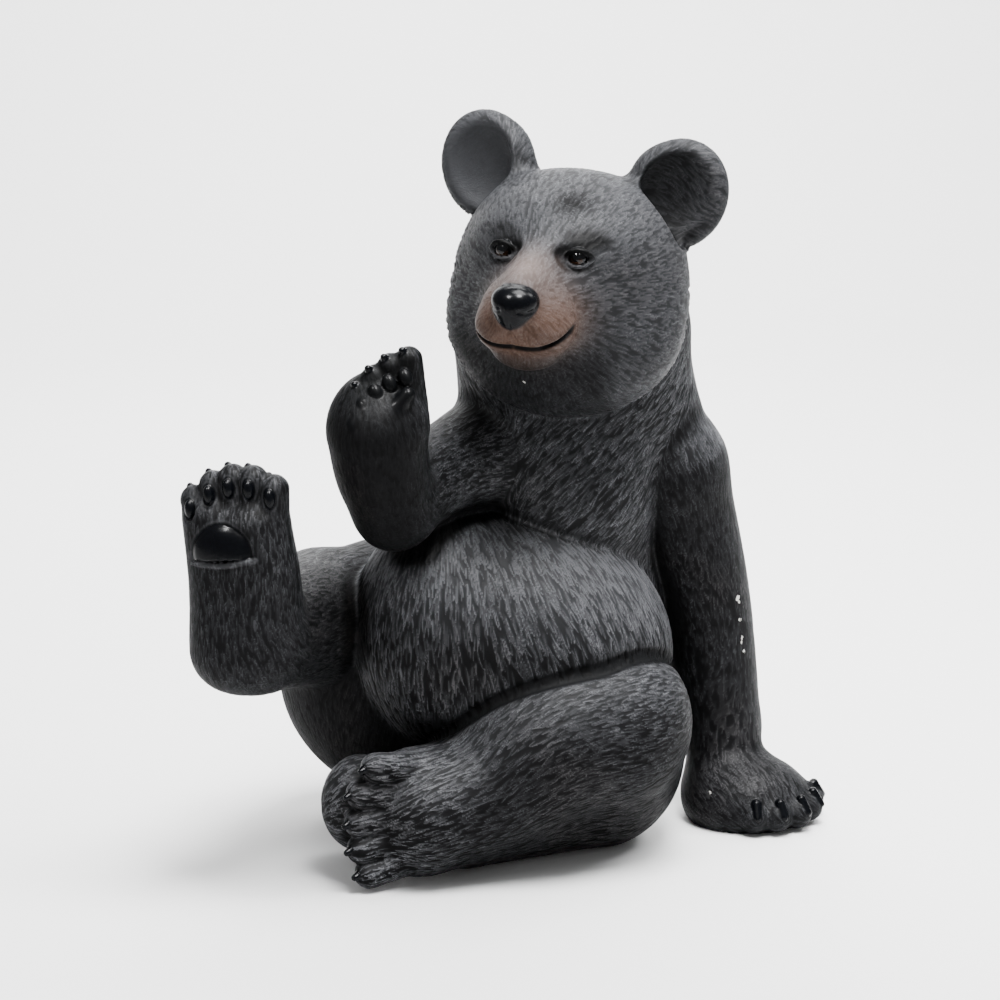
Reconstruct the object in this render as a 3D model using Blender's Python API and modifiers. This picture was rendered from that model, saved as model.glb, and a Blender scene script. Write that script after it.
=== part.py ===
# Garden statue of a seated bear cub, cast in one piece.
# It leans on its left arm, raises its right paw and shows the sole of its right foot.
#
# The form is worked out the way a modeller builds up clay: rounded masses are
# placed one by one, each merged into the last with a fillet of a stated width, and
# hollows are cut the same way. Every mass is also a primitive; the primitives are
# fused by a voxel remesh and the skin is then settled onto the filleted form,
# thinned and cut flat below.
#
# Frame: +Z up, the bear faces -Y, its left side is at +X, and the finished statue
# stands on the ground with the origin under the middle of its overall box. The
# sizes in the dictionaries are in millimetres for a statue DESIGN_HEIGHT tall,
# measured from a point under the belly, and UNIT turns them into metres. Most
# entries are a centre, three radii and a fillet, or a run of points with radii.

import bpy
import bmesh
import numpy as np
from math import cos, radians, sin
from mathutils import Matrix, Vector

STATUE_HEIGHT = 0.412
DESIGN_HEIGHT = 412.0
UNIT = STATUE_HEIGHT / DESIGN_HEIGHT

VOXEL = 3.0                 # cell of the first remesh, in millimetres
FINE_VOXEL = 1.6            # cell of the second, once the skin has its form
TRIANGLES = 9700            # of the finished skin, before the flat cut
SPHERE_STEPS = 3            # subdivisions of the ico spheres
SETTLE_STEPS = 4
PROBE = 0.2                 # how far ahead the slope of the form is felt, in millimetres
LONGEST_MOVE = 2.5          # of a vertex in one step, in millimetres
LEAST_SLOPE = 0.35          # where the form runs nearly along the normal
MERGE = 1e-6                # metres

FUR_COLOUR = (0.035, 0.036, 0.04, 1.0)
FUR_ROUGHNESS = 0.5
FUR_METALLIC = 0.0


# merge two distances with a fillet, and cut one out of the other
def join(first, second, fillet):
    share = np.clip(0.5 + 0.5 * (second - first) / fillet, 0.0, 1.0)
    return second + (first - second) * share - fillet * share * (1.0 - share)


def cut(body, tool, fillet):
    return -join(-body, tool, fillet)


def append(bm, lump):
    mesh = bpy.data.meshes.new("lump")
    lump.to_mesh(mesh)
    lump.free()
    bm.from_mesh(mesh)
    bpy.data.meshes.remove(mesh)


# a turn about the y or z axis; its rows are the turned axes
def turned(axis, degrees):
    c, s = cos(radians(degrees)), sin(radians(degrees))
    rows = {"y": ((c, 0, -s), (0, 1, 0), (s, 0, c)), "z": ((c, s, 0), (-s, c, 0), (0, 0, 1))}
    return np.array(rows[axis], float)


# a place with its own axes: side (the bear's left), forward and up
class Place:
    def __init__(self, origin=(0, 0, 0), forward=None, up=(0, 0, 1)):
        self.origin = np.array(origin, float)
        self.axes = np.eye(3)
        if forward is not None:
            forward = np.array(forward, float) / np.linalg.norm(forward)
            up = np.array(up, float) - forward * (forward @ up)
            up = up / np.linalg.norm(up)
            self.axes = np.array([np.cross(up, forward), forward, up])

    def world(self, point):
        return self.origin + np.asarray(point, float) @ self.axes

    # the same axes at another point
    def moved(self, point):
        place = Place(self.world(point))
        place.axes = self.axes
        return place


GROUND = Place()


# an ellipsoid; one with a floor has no part below that height
class Egg:
    def __init__(self, centre, radii, fillet=0.0, place=GROUND, turn=None, hollow=False, floor=None):
        self.centre = place.world(centre)
        self.radii = np.array(radii, float)
        self.axes = place.axes if turn is None else turn @ place.axes
        self.floor = floor
        self.fillet, self.hollow = fillet, hollow
        self.middle, self.reach = self.centre, max(radii)

    def distance(self, points):
        local = (points - self.centre) @ self.axes.T
        first = np.linalg.norm(local / self.radii, axis=1)
        second = np.linalg.norm(local / self.radii ** 2, axis=1) + 1e-9
        distance = first * (first - 1.0) / second
        return distance if self.floor is None else np.maximum(distance, self.floor - local[:, 2])

    def add_to(self, bm):
        lump = bmesh.new()
        bmesh.ops.create_icosphere(lump, subdivisions=SPHERE_STEPS, radius=1.0)
        if self.floor is not None:
            for vert in lump.verts:
                vert.co.z = max(vert.co.z, self.floor / self.radii[2])
        place = Matrix(self.axes.T.tolist()).to_4x4() @ Matrix.Diagonal((*self.radii, 1.0))
        place.translation = Vector(self.centre)
        bmesh.ops.transform(lump, matrix=place, verts=lump.verts)
        append(bm, lump)


# a smooth run of balls through stations that each carry a point and a radius
class Path:
    def __init__(self, stations, fillet=0.0, place=GROUND, hollow=False, steps=5):
        rows = np.array([(*place.world(point), radius) for point, radius in stations])
        self.cubics = cubics_through(rows)
        self.steps = steps if len(rows) > 2 else 1
        shares = np.arange((len(rows) - 1) * self.steps + 1) / self.steps
        self.balls = self.at(shares)
        self.fillet, self.hollow = fillet, hollow
        self.middle = (self.balls[:, :3].min(axis=0) + self.balls[:, :3].max(axis=0)) / 2
        self.reach = np.max(np.linalg.norm(self.balls[:, :3] - self.middle, axis=1) + self.balls[:, 3])

    # point and radius at a share of the run, which is one for each stretch between stations
    def at(self, share):
        stretch = np.clip(np.floor(share).astype(int), 0, len(self.cubics) - 1)
        share = np.asarray(share - stretch)[..., None]
        first, second, third, fourth = np.moveaxis(self.cubics[stretch], -2, 0)
        return first + share * (second + share * (third + share * fourth))

    # the share where the nearest ball lies: the best sample, then the dip of a parabola
    def nearest(self, points):
        if len(self.balls) == 2:
            start, along = self.balls[0, :3], self.balls[1, :3] - self.balls[0, :3]
            return np.clip((points - start) @ along / (along @ along), 0.0, 1.0)
        away = np.array([np.linalg.norm(points - ball[:3], axis=1) - ball[3] for ball in self.balls])
        best = np.clip(np.argmin(away, axis=0), 1, len(away) - 2)
        every = np.arange(len(points))
        before, here, after = away[best - 1, every], away[best, every], away[best + 1, every]
        dip = (before - after) / np.maximum(before - 2 * here + after, 1e-6) / 2
        return (best + np.clip(dip, -1, 1)) / self.steps

    def distance(self, points):
        balls = self.at(self.nearest(points))
        return np.linalg.norm(points - balls[:, :3], axis=1) - balls[:, 3]

    # the hull of each two neighbouring balls
    def add_to(self, bm):
        for pair in zip(self.balls, self.balls[1:]):
            lump = bmesh.new()
            for x, y, z, radius in pair:
                place = Matrix.Translation((x, y, z))
                bmesh.ops.create_icosphere(lump, subdivisions=SPHERE_STEPS, radius=radius, matrix=place)
            hull = bmesh.ops.convex_hull(lump, input=lump.verts[:])
            inside = [item for item in hull["geom_interior"] if isinstance(item, bmesh.types.BMVert)]
            bmesh.ops.delete(lump, geom=inside, context="VERTS")
            append(bm, lump)


# one cubic curve for each stretch between rows, joined without a kink
def cubics_through(rows):
    ends = np.vstack([2 * rows[0] - rows[1], rows, 2 * rows[-1] - rows[-2]])
    cubics = []
    for before, start, end, after in zip(ends, ends[1:], ends[2:], ends[3:]):
        leave, arrive = (end - before) / 2, (after - start) / 2
        bend = 3 * (end - start) - 2 * leave - arrive
        cubics.append([start, leave, bend, 2 * (start - end) + leave + arrive])
    return np.array(cubics)


# a point, or a run of points with radii, mirrored for the bear's right side
def on_side(side, point):
    return (point[0] * side, point[1], point[2])


def run_on_side(side, stations):
    return [(on_side(side, point), radius) for point, radius in stations]


TRUNK = {
    "seat": ((0, 34, 72), (86, 66, 80), 22),
    "waist": ((24, 32, 130), (72, 62, 75), 22),
    "chest": ((36, 12, 200), (54, 54, 57), 22),
    "shoulders": ((41, 20, 246), (64, 52, 46), 22),
    "neck": ((39.5, 8, 288), (66, 50, 54), 22),
    "nape": ((38, 2, 322), (54, 48, 44), 22),
}
BELLY = {
    "ball": ((10, -15, 120), (88, 67, 72)),
    "tilt": 20,
    "flank": ((-34, -34, 128), (48, 46, 64), 16),
}


def trunk_masses():
    return [Egg(*TRUNK[name]) for name in ("seat", "waist", "chest", "shoulders", "neck", "nape")]


def belly_masses():
    return [Egg(*BELLY["ball"], turn=turned("y", BELLY["tilt"])), Egg(*BELLY["flank"])]


HEAD = {
    "centre": (36, -35, 319),
    "turn": 18,              # degrees to the bear's right
    "lean": 4,               # degrees to the bear's left
    "crown": ((8, -6, 12), (53, 55, 50), 6),
    "cheek": ((17, -4, -12), (47, 45, 46), 14),
    "jowl": ((20, 8, -24), (40, 36, 34), 14),
    "throat": ((0, 8, -34), (42, 42, 34), 16),
    "brow": ((0, 24, 24), (42, 31, 27), 12),
}
MUZZLE = {
    "stem": (((0, 30, -2), 38), ((0, 66, -6), 25)),
    "stem_fillet": 18,
    "front": ((0, 77, -6), (21, 22, 18), 10),
    "lip": ((10.5, 78, -11.5), (13, 16, 10), 7),
    "chin": ((0, 68, -24), (17, 18, 10), 4),
    "bridge": (((0, 44, 24), 13), ((0, 90, 8), 9)),
    "bridge_fillet": 8,
    "mouth": (((0, 94, -18.5), 1.3), ((12, 92, -18.5), 1.3), ((19, 88, -15), 1.3), ((24, 80, -11), 1.3),
              ((28, 70, -7), 1.3)),
    "mouth_fillet": 1.5,
}
NOSE = {
    "place": (0, 97, 3),
    "top": ((0, -2, 3.5), (11.8, 9.5, 7.5), 1.5),
    "body": ((0, -1.5, -0.5), (10.5, 10, 9), 4),
    "tip": ((0, -3, -7), (6.5, 8.5, 5.5), 4),
    "nostril": (((5.6, 7.6, -1.8), 1.2), ((8.4, 5.6, -2.6), 1.3), ((11.0, 1.5, -1.5), 0.8)),
    "nostril_fillet": 1.2,
    "groove": (((0, 8.5, -5), 0.7), ((0, 2, -16), 0.9)),
    "groove_fillet": 1.5,
}


def head_place():
    turn, lean = radians(HEAD["turn"]), radians(HEAD["lean"])
    side = np.array([cos(turn), -sin(turn), 0])
    up = np.array([0, 0, 1]) * cos(lean) + side * sin(lean)
    return Place(HEAD["centre"], (-sin(turn), -cos(turn), 0), up)


FACE = head_place()


def head_masses():
    masses = []
    for name in ("crown", "cheek", "jowl"):
        centre, radii, fillet = HEAD[name]
        masses += [Egg(on_side(side, centre), radii, fillet, FACE) for side in (1, -1)]
    masses += [Egg(*HEAD[name], FACE) for name in ("throat", "brow")]
    return masses + muzzle_masses() + nose_masses() + eye_masses()


def muzzle_masses():
    masses = [Path(MUZZLE["stem"], MUZZLE["stem_fillet"], FACE), Egg(*MUZZLE["front"], FACE)]
    centre, radii, fillet = MUZZLE["lip"]
    masses += [Egg(on_side(side, centre), radii, fillet, FACE) for side in (1, -1)]
    masses.append(Egg(*MUZZLE["chin"], FACE))
    masses.append(Path(MUZZLE["bridge"], MUZZLE["bridge_fillet"], FACE))
    for side in (1, -1):
        line = run_on_side(side, MUZZLE["mouth"])
        masses.append(Path(line, MUZZLE["mouth_fillet"], FACE, hollow=True))
    return masses


# a rounded triangular pad, with a comma for each nostril and a groove down to the lip
def nose_masses():
    at = FACE.moved(NOSE["place"])
    masses = [Egg(*NOSE[name], at) for name in ("top", "body", "tip")]
    for side in (1, -1):
        line = run_on_side(side, NOSE["nostril"])
        masses.append(Path(line, NOSE["nostril_fillet"], at, hollow=True))
    masses.append(Path(NOSE["groove"], NOSE["groove_fillet"], at, hollow=True))
    return masses


EYE = {
    "place": (20, 54, 24.7),
    "socket": ((1.5, 6.5, 1.2), (11, 5.5, 7.5), 4.5),
    "corner": (((6, 3.5, 1), 2.0), ((11, 0, -2), 1.6), ((17, -6, -6), 0.8)),
    "corner_fillet": 3,
    "ball": ((0, 0, 0), (4.9, 4.9, 4.9), 0.4),
    "upper_lid": (((-6.4, 2.0, -0.6), 1.3), ((-3.8, 3.9, 2.9), 1.3), ((0.4, 4.0, 4.3), 1.3),
                  ((4.8, 2.2, 3.3), 1.3), ((7.6, -0.6, 0.2), 1.3)),
    "lower_lid": (((-6.4, 2.0, -0.8), 0.9), ((-3.4, 3.8, -3.6), 0.9), ((1.0, 3.9, -4.3), 0.9),
                 ((5.0, 1.9, -3.3), 0.9), ((7.6, -0.6, 0.0), 0.9)),
    "lid_fillet": 1.2,
}


# a domed eye in a hollow that runs on past its outer corner, between two thin lids
def eye_masses():
    masses = []
    for side in (1, -1):
        at = FACE.moved(on_side(side, EYE["place"]))
        centre, radii, fillet = EYE["socket"]
        masses.append(Egg(on_side(side, centre), radii, fillet, at, hollow=True))
        line = run_on_side(side, EYE["corner"])
        masses.append(Path(line, EYE["corner_fillet"], at, hollow=True))
        masses.append(Egg(*EYE["ball"], at))
        for lid in ("upper_lid", "lower_lid"):
            masses.append(Path(run_on_side(side, EYE[lid]), EYE["lid_fillet"], at))
    return masses


EAR = {
    "place": (54, -25, 55),
    "shift": -4.0,
    "rise": 2.5,
    "splay": (20, 14),       # degrees out at the top, left ear and right ear
    "yaw": -6,               # degrees that it faces outwards
    "blade": ((0, 0, 0), (27, 12, 30.5), 6),
    "front": (((-18, 3, -15), 15), ((-10, 1, 8), 12)),
    "front_fillet": 10,
    "dish": ((6, 14, 1), (24, 12, 28), 3.5),
    "dish_yaw": 8,
}


def ear_masses():
    x, y, z = EAR["place"]
    masses = []
    for side, splay in zip((1, -1), EAR["splay"]):
        at = FACE.moved((x * side + EAR["shift"], y, z - EAR["rise"] * side))
        turn = turned("y", splay * side) @ turned("z", EAR["yaw"] * side)
        masses.append(Egg(*EAR["blade"], at, turn))
        masses.append(Path(run_on_side(side, EAR["front"]), EAR["front_fillet"], at))
        centre, radii, fillet = EAR["dish"]
        turn = turned("y", splay * side) @ turned("z", EAR["dish_yaw"] * side)
        masses.append(Egg(on_side(side, centre), radii, fillet, at, turn, hollow=True))
    return masses


CLAW_FILLET = 0.9
TOE_FILLET = 2.5


def claw(bed, tip, place=GROUND, bed_radius=2.6, tip_radius=1.9):
    return Path([(bed, bed_radius), (tip, tip_radius)], CLAW_FILLET, place)


LEFT_ARM = {
    "collar": (((60, 20, 286), 28), ((93, 23, 208), 32.5)),
    "front": (((93, 23, 208), 32.5), ((115, 34, 130), 26.5), ((129, 37, 52), 21)),
    "back": (((95, 35, 205), 31), ((117, 46, 127), 25), ((131, 49, 49), 19.5)),
    "fillet": 12,
    "crease": (2.5, 16, 208, 246),   # the fillet to the chest, low and high, and between which heights
}
LEFT_HAND = {
    "heel": (((129, 37, 52), 21), ((131, 32, 24), 22)),
    "palm": ((142, 21, 12), (37, 33.5, 26)),
    "fillet": 12,
    "toes": (-84, 23, 5),    # heading of the first, degrees between them, how many
    "toe_root": (16, 15, 12), # reach, height, radius
    "toe_tip": (30, 10, 8.8),
    "stretch": (2.6, -1.2),  # how much longer each is than the last, and less so past the third
    "claw_bed": (33, 19, 2.7),
    "claw_tip": (38, 12, 2.0),
}


def left_arm_masses():
    return [Path(LEFT_ARM[name], LEFT_ARM["fillet"]) for name in ("collar", "front", "back")]


def left_hand_masses():
    centre, radii = LEFT_HAND["palm"]
    masses = [Path(LEFT_HAND["heel"], LEFT_HAND["fillet"]), Egg(centre, radii, LEFT_HAND["fillet"])]
    first, between, count = LEFT_HAND["toes"]
    for toe in range(count):
        angle = radians(first + between * toe)
        longer = LEFT_HAND["stretch"][0] * toe + LEFT_HAND["stretch"][1] * max(0, toe - 2)
        stations = []
        for name in ("toe_root", "toe_tip", "claw_bed", "claw_tip"):
            reach, height, radius = LEFT_HAND[name]
            reach += longer
            x, y = centre[0] + cos(angle) * reach, centre[1] + sin(angle) * reach
            stations.append(((x, y, height), radius))
        masses.append(Path(stations[:2], TOE_FILLET))
        masses.append(Path(stations[2:], CLAW_FILLET))
    return masses


RIGHT_ARM = {
    "upper": (((-2, 2, 222), 34), ((-32, -32, 217), 24.5), ((-56, -70, 207), 21)),
    "fore": (((-57, -74, 205), 21), ((-62, -86, 228), 25), ((-65, -92, 250), 26)),
    "fillet": 10,
    "hand": (-62, -100, 261),
    "facing": (-0.10, -0.97, 0.20),
    "up": (-0.5, 0, 1),
    "palm": ((-1.5, -6, 0), (25, 16, 25), 8),
    "ridge": (((18, 8, 3), 4), ((1, 8, -5), 4.5)),
    "ridge_fillet": 3,
    "toe_across": (5.5, 20),  # middle and half spread
    "toe_top": (25, 6, -5.4), # height of the middle toe, slope and bow
    "toe_root": (0.62, -8, -24, 9.5),
    "toe_end": (-1, -6, 7.2),
    "pad_across": (3.5, 17),
    "pad": (8.8, -3.0, -14), # ahead, slant and drop
    "pad_size": (3.6, 2.8, 5.2),
    "pad_fillet": 0.8,
    "claw_bed": (0, 2, -3),
    "claw_tip": (-0.5, 5, -0.5),
}


def right_arm_masses():
    masses = [Path(RIGHT_ARM[name], RIGHT_ARM["fillet"]) for name in ("upper", "fore")]
    place = Place(RIGHT_ARM["hand"], RIGHT_ARM["facing"], RIGHT_ARM["up"])
    masses.append(Egg(*RIGHT_ARM["palm"], place))
    masses.append(Path(RIGHT_ARM["ridge"], RIGHT_ARM["ridge_fillet"], place))
    middle, spread = RIGHT_ARM["toe_across"]
    top, slope, bow = RIGHT_ARM["toe_top"]
    inward, root_ahead, root_drop, root_radius = RIGHT_ARM["toe_root"]
    end_ahead, end_drop, end_radius = RIGHT_ARM["toe_end"]
    pad_middle, pad_spread = RIGHT_ARM["pad_across"]
    ahead, slant, drop = RIGHT_ARM["pad"]
    for share in (-1, -0.5, 0, 0.5, 1):
        x = middle + spread * share
        z = top + slope * share + bow * share ** 2
        root = (x * inward, root_ahead, z + root_drop)
        toe = [(root, root_radius), ((x, end_ahead, z + end_drop), end_radius)]
        masses.append(Path(toe, TOE_FILLET, place))
        pad = (pad_middle + pad_spread * share, ahead + slant * share, z + drop)
        masses.append(Egg(pad, RIGHT_ARM["pad_size"], RIGHT_ARM["pad_fillet"], place))
        tip = place.moved((x, 0, z))
        masses.append(claw(RIGHT_ARM["claw_bed"], RIGHT_ARM["claw_tip"], tip))
    return masses


RIGHT_LEG = {
    "hip": ((-40, 14, 92), (87, 64, 78), 16),
    "thigh": (((-52, 18, 124), 42), ((-101, -10, 130), 35)),
    "thigh_fillet": 16,
    "shin": (((-101, -10, 130), 38), ((-130, -88, 140), 31)),
    "fillet": 8,
    "foot": (-136, -106, 172),
    "facing": (-0.28, -0.96, 0),
    "up": (-0.09, 0, 1),
    "sole": (((1, -14, -36), 24), ((1, -12, 0), 22), ((1, -10, 26), 20)),
    "outer": (((-12.5, -9, -37), 22.5), ((-13, -8, 0), 18.5), ((-15.5, -8, 34), 16)),
    "inner": (((7, -10, -32), 18), ((11, -8, 0), 18), ((12, -8, 30), 15)),
    "trough": ((-5, 11, 18), (19.5, 5, 19.5), 0.8),
    "trough_floor": -3.4,
    "pad": ((-5, 5, 18), (17.5, 8, 17.5), 0.4),
    "pad_floor": -2.2,
    "rim": (((-22, 9.3, 14), 1.2), ((-5, 10.5, 13), 1.4), ((13, 9.3, 15), 1.2)),
    "rim_fillet": 0.8,
    "toe_across": (-0.8, 22.4),
    "toe_top": (63.5, 2.2, -8.4),
    "toe_root": (0.8, -8, -32, 9),
    "toe_end": (-6, -8, 8),
    "dent": ((0, 5, -11.5), (4.3, 3.4, 6.8), 0.8),
    "toe_pad": ((0, 2, -11.5), (3.0, 3.2, 5.4), 0.3),
    "claw_bed": (-3, -9, -4),
    "claw_tip": (-3, -8, -1),
}


def right_thigh_masses():
    return [Egg(*RIGHT_LEG["hip"]), Path(RIGHT_LEG["thigh"], RIGHT_LEG["thigh_fillet"])]


# a flat sole with a pad under each toe, and a large one in a trough with a straight lower edge
def right_foot_masses():
    place = Place(RIGHT_LEG["foot"], RIGHT_LEG["facing"], RIGHT_LEG["up"])
    masses = [Path(RIGHT_LEG["shin"], RIGHT_LEG["fillet"])]
    masses += [Path(RIGHT_LEG[name], RIGHT_LEG["fillet"], place) for name in ("sole", "outer", "inner")]
    middle, spread = RIGHT_LEG["toe_across"]
    top, slope, bow = RIGHT_LEG["toe_top"]
    inward, root_ahead, root_drop, root_radius = RIGHT_LEG["toe_root"]
    end_ahead, end_drop, end_radius = RIGHT_LEG["toe_end"]
    for share in (-1, -0.5, 0, 0.5, 1):
        x = middle + spread * share
        z = top + slope * share + bow * share ** 2
        root = (x * inward, root_ahead, z + root_drop)
        toe = [(root, root_radius), ((x, end_ahead, z + end_drop), end_radius)]
        masses.append(Path(toe, TOE_FILLET, place))
        tip = place.moved((x, 0, z))
        masses.append(claw(RIGHT_LEG["claw_bed"], RIGHT_LEG["claw_tip"], tip))
        masses.append(Egg(*RIGHT_LEG["dent"], tip, hollow=True))
        masses.append(Egg(*RIGHT_LEG["toe_pad"], tip))
    masses.append(Egg(*RIGHT_LEG["trough"], place, hollow=True, floor=RIGHT_LEG["trough_floor"]))
    masses.append(Egg(*RIGHT_LEG["pad"], place, floor=RIGHT_LEG["pad_floor"]))
    masses.append(Path(RIGHT_LEG["rim"], RIGHT_LEG["rim_fillet"], place))
    return masses


LEFT_LEG = {
    "thigh": ((56, -10, 50), (48, 48, 50), 14),
    "shin": (((56, -40, 77), 50), ((28, -53, 72), 47.5), ((-4, -66, 51), 37), ((-38, -78, 39), 32)),
    "shin_fillet": 14,
    "calf": (((50, -20, 44), 45), ((-20, -56, 33), 34)),
    "calf_fillet": 10,
    "foot": ((-46, -80, 38), (33, 22, 36), 8),
    "heel": ((-76, -76, 42), (22, 20, 27), 6),
    "toe_root": ((-42, -84, 9), 0.8, 9.5),    # the roots lie closer together than the tips
    "toe_top": (69, 54.5, 38.5, 23.5, 9.5),
    "toe_end": (-67, -75, -76, -75, -71),
    "toe_ahead": (-98, 8.2),
    "claw_bed": (-5, -4, 1),
    "claw_tip": (-7.5, -6.5, 0),
}


def left_leg_masses():
    masses = [Egg(*LEFT_LEG["thigh"]), Path(LEFT_LEG["shin"], LEFT_LEG["shin_fillet"])]
    masses.append(Path(LEFT_LEG["calf"], LEFT_LEG["calf_fillet"]))
    masses += [Egg(*LEFT_LEG[name]) for name in ("foot", "heel")]
    (root_x, root_y, root_z), closer, root_radius = LEFT_LEG["toe_root"]
    end_y, end_radius = LEFT_LEG["toe_ahead"]
    for x, z in zip(LEFT_LEG["toe_end"], LEFT_LEG["toe_top"]):
        toe = [((root_x, root_y, closer * z + root_z), root_radius), ((x, end_y, z), end_radius)]
        masses.append(Path(toe, TOE_FILLET))
        masses.append(claw(LEFT_LEG["claw_bed"], LEFT_LEG["claw_tip"], Place((x, end_y, z))))
    return masses


# a group is merged into the rest with one fillet, or with one that grows between two heights
class Group:
    margin = 24.0            # how far outside itself it is still worked out

    def __init__(self, fillet, masses):
        self.fillet, self.masses = fillet, masses
        solid = [mass for mass in masses if not mass.hollow]
        self.low = np.min([mass.middle - mass.reach for mass in solid], axis=0) - self.margin
        self.high = np.max([mass.middle + mass.reach for mass in solid], axis=0) + self.margin

    def near(self, points):
        return np.flatnonzero(((points > self.low) & (points < self.high)).all(axis=1))

    def fillet_at(self, points):
        if not isinstance(self.fillet, tuple):
            return self.fillet
        narrow, wide, low, high = self.fillet
        return narrow + (wide - narrow) * np.clip((points[:, 2] - low) / (high - low), 0, 1)

    def distance(self, points):
        total = self.masses[0].distance(points)
        for mass in self.masses[1:]:
            offset = points - mass.middle
            near = np.flatnonzero(np.einsum("ij,ij->i", offset, offset) < (mass.reach + self.margin) ** 2)
            if not len(near):
                continue
            here, old = mass.distance(points[near]), total[near]
            if mass.hollow:
                total[near] = cut(old, here, mass.fillet)
            elif mass.fillet:
                total[near] = join(old, here, mass.fillet)
            else:
                total[near] = np.minimum(old, here)
        return total


GROUPS = [
    Group(0.01, trunk_masses()),
    Group(LEFT_ARM["crease"], left_arm_masses()),
    Group(16, right_thigh_masses()),
    Group(5, head_masses() + ear_masses()),
    Group(3, belly_masses()),
    Group(7, right_arm_masses()),
    Group(6, right_foot_masses()),
    Group(3, left_leg_masses()),
    Group(6, left_hand_masses()),
]
FAR_AWAY = 60.0


def body_distance(points):
    total = np.full(len(points), FAR_AWAY)
    for group in GROUPS:
        near = group.near(points)
        if not len(near):
            continue
        here = group.distance(points[near])
        total[near] = join(total[near], here, group.fillet_at(points[near]))
    return np.maximum(total, -points[:, 2])      # cut flat where it stands


def evaluated_mesh(obj):
    bpy.context.view_layer.update()
    depsgraph = bpy.context.evaluated_depsgraph_get()
    return bpy.data.meshes.new_from_object(obj.evaluated_get(depsgraph))


def apply_modifiers(obj):
    mesh = evaluated_mesh(obj)
    old = obj.data
    obj.modifiers.clear()
    obj.data = mesh
    bpy.data.meshes.remove(old)


# the primitives of all masses that aren't hollows, still separate
def primitive_mesh():
    bm = bmesh.new()
    for group in GROUPS:
        for mass in group.masses:
            if not mass.hollow:
                mass.add_to(bm)
    bmesh.ops.scale(bm, vec=(UNIT, UNIT, UNIT), verts=bm.verts)
    mesh = bpy.data.meshes.new("bear")
    bm.to_mesh(mesh)
    bm.free()
    return mesh


def remesh(obj, voxel):
    modifier = obj.modifiers.new("fuse", "REMESH")
    modifier.mode = "VOXEL"
    modifier.voxel_size = voxel * UNIT
    modifier.use_smooth_shade = True
    apply_modifiers(obj)


# move every vertex along its normal until it lies on the filleted form
def settle(obj):
    mesh = obj.data
    points = np.empty(len(mesh.vertices) * 3)
    normals = np.empty(len(mesh.vertices) * 3)
    for _ in range(SETTLE_STEPS):
        mesh.vertices.foreach_get("co", points)
        mesh.vertex_normals.foreach_get("vector", normals)
        place = points.reshape(-1, 3) / UNIT
        normal = normals.reshape(-1, 3)
        here = body_distance(place)
        slope = np.maximum((body_distance(place + normal * PROBE) - here) / PROBE, LEAST_SLOPE)
        place = place - normal * np.clip(here / slope, -LONGEST_MOVE, LONGEST_MOVE)[:, None]
        mesh.vertices.foreach_set("co", (place * UNIT).ravel())
        mesh.update()


def thin(obj):
    mesh = obj.data
    mesh.calc_loop_triangles()
    modifier = obj.modifiers.new("thin", "DECIMATE")
    modifier.ratio = TRIANGLES / len(mesh.loop_triangles)
    modifier.use_collapse_triangulate = True
    apply_modifiers(obj)


# cut the underside flat where the statue stands, and close each cut
def flatten_underside(obj):
    bm = bmesh.new()
    bm.from_mesh(obj.data)
    everything = bm.verts[:] + bm.edges[:] + bm.faces[:]
    bmesh.ops.bisect_plane(bm, geom=everything, dist=MERGE, plane_co=(0, 0, 0), plane_no=(0, 0, -1),
                           clear_outer=True)
    rim = [edge for edge in bm.edges if edge.is_boundary]
    bmesh.ops.holes_fill(bm, edges=rim, sides=0)
    bmesh.ops.triangulate(bm, faces=bm.faces)
    bmesh.ops.recalc_face_normals(bm, faces=bm.faces)
    bm.to_mesh(obj.data)
    bm.free()


# put the origin on the ground under the middle of the statue's box
def centre_over_origin(obj):
    corners = np.array([corner[:] for corner in obj.bound_box])
    middle = (corners.min(axis=0) + corners.max(axis=0)) / 2
    obj.data.transform(Matrix.Translation((-middle[0], -middle[1], 0.0)))


def fur_material():
    material = bpy.data.materials.new("fur")
    material.use_nodes = True
    shader = material.node_tree.nodes["Principled BSDF"]
    shader.inputs["Base Color"].default_value = FUR_COLOUR
    shader.inputs["Roughness"].default_value = FUR_ROUGHNESS
    shader.inputs["Metallic"].default_value = FUR_METALLIC
    return material


def main():
    for obj in list(bpy.data.objects):
        bpy.data.objects.remove(obj, do_unlink=True)
    collection = bpy.data.collections.new("bear_statue")
    bpy.context.scene.collection.children.link(collection)

    bear = bpy.data.objects.new("bear", primitive_mesh())
    collection.objects.link(bear)
    remesh(bear, VOXEL)
    settle(bear)
    remesh(bear, FINE_VOXEL)
    settle(bear)
    thin(bear)
    flatten_underside(bear)
    centre_over_origin(bear)
    bear.data.materials.clear()
    bear.data.materials.append(fur_material())
    bear.data.shade_smooth()


main()
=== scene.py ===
# Seated bear cub, cast in one piece and painted: the skin with its carved fur, the
# gloss of nose, eyes, claws and pads, a pale studio floor and soft lights.
import time
from itertools import product
from math import cos, radians, sin

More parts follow.
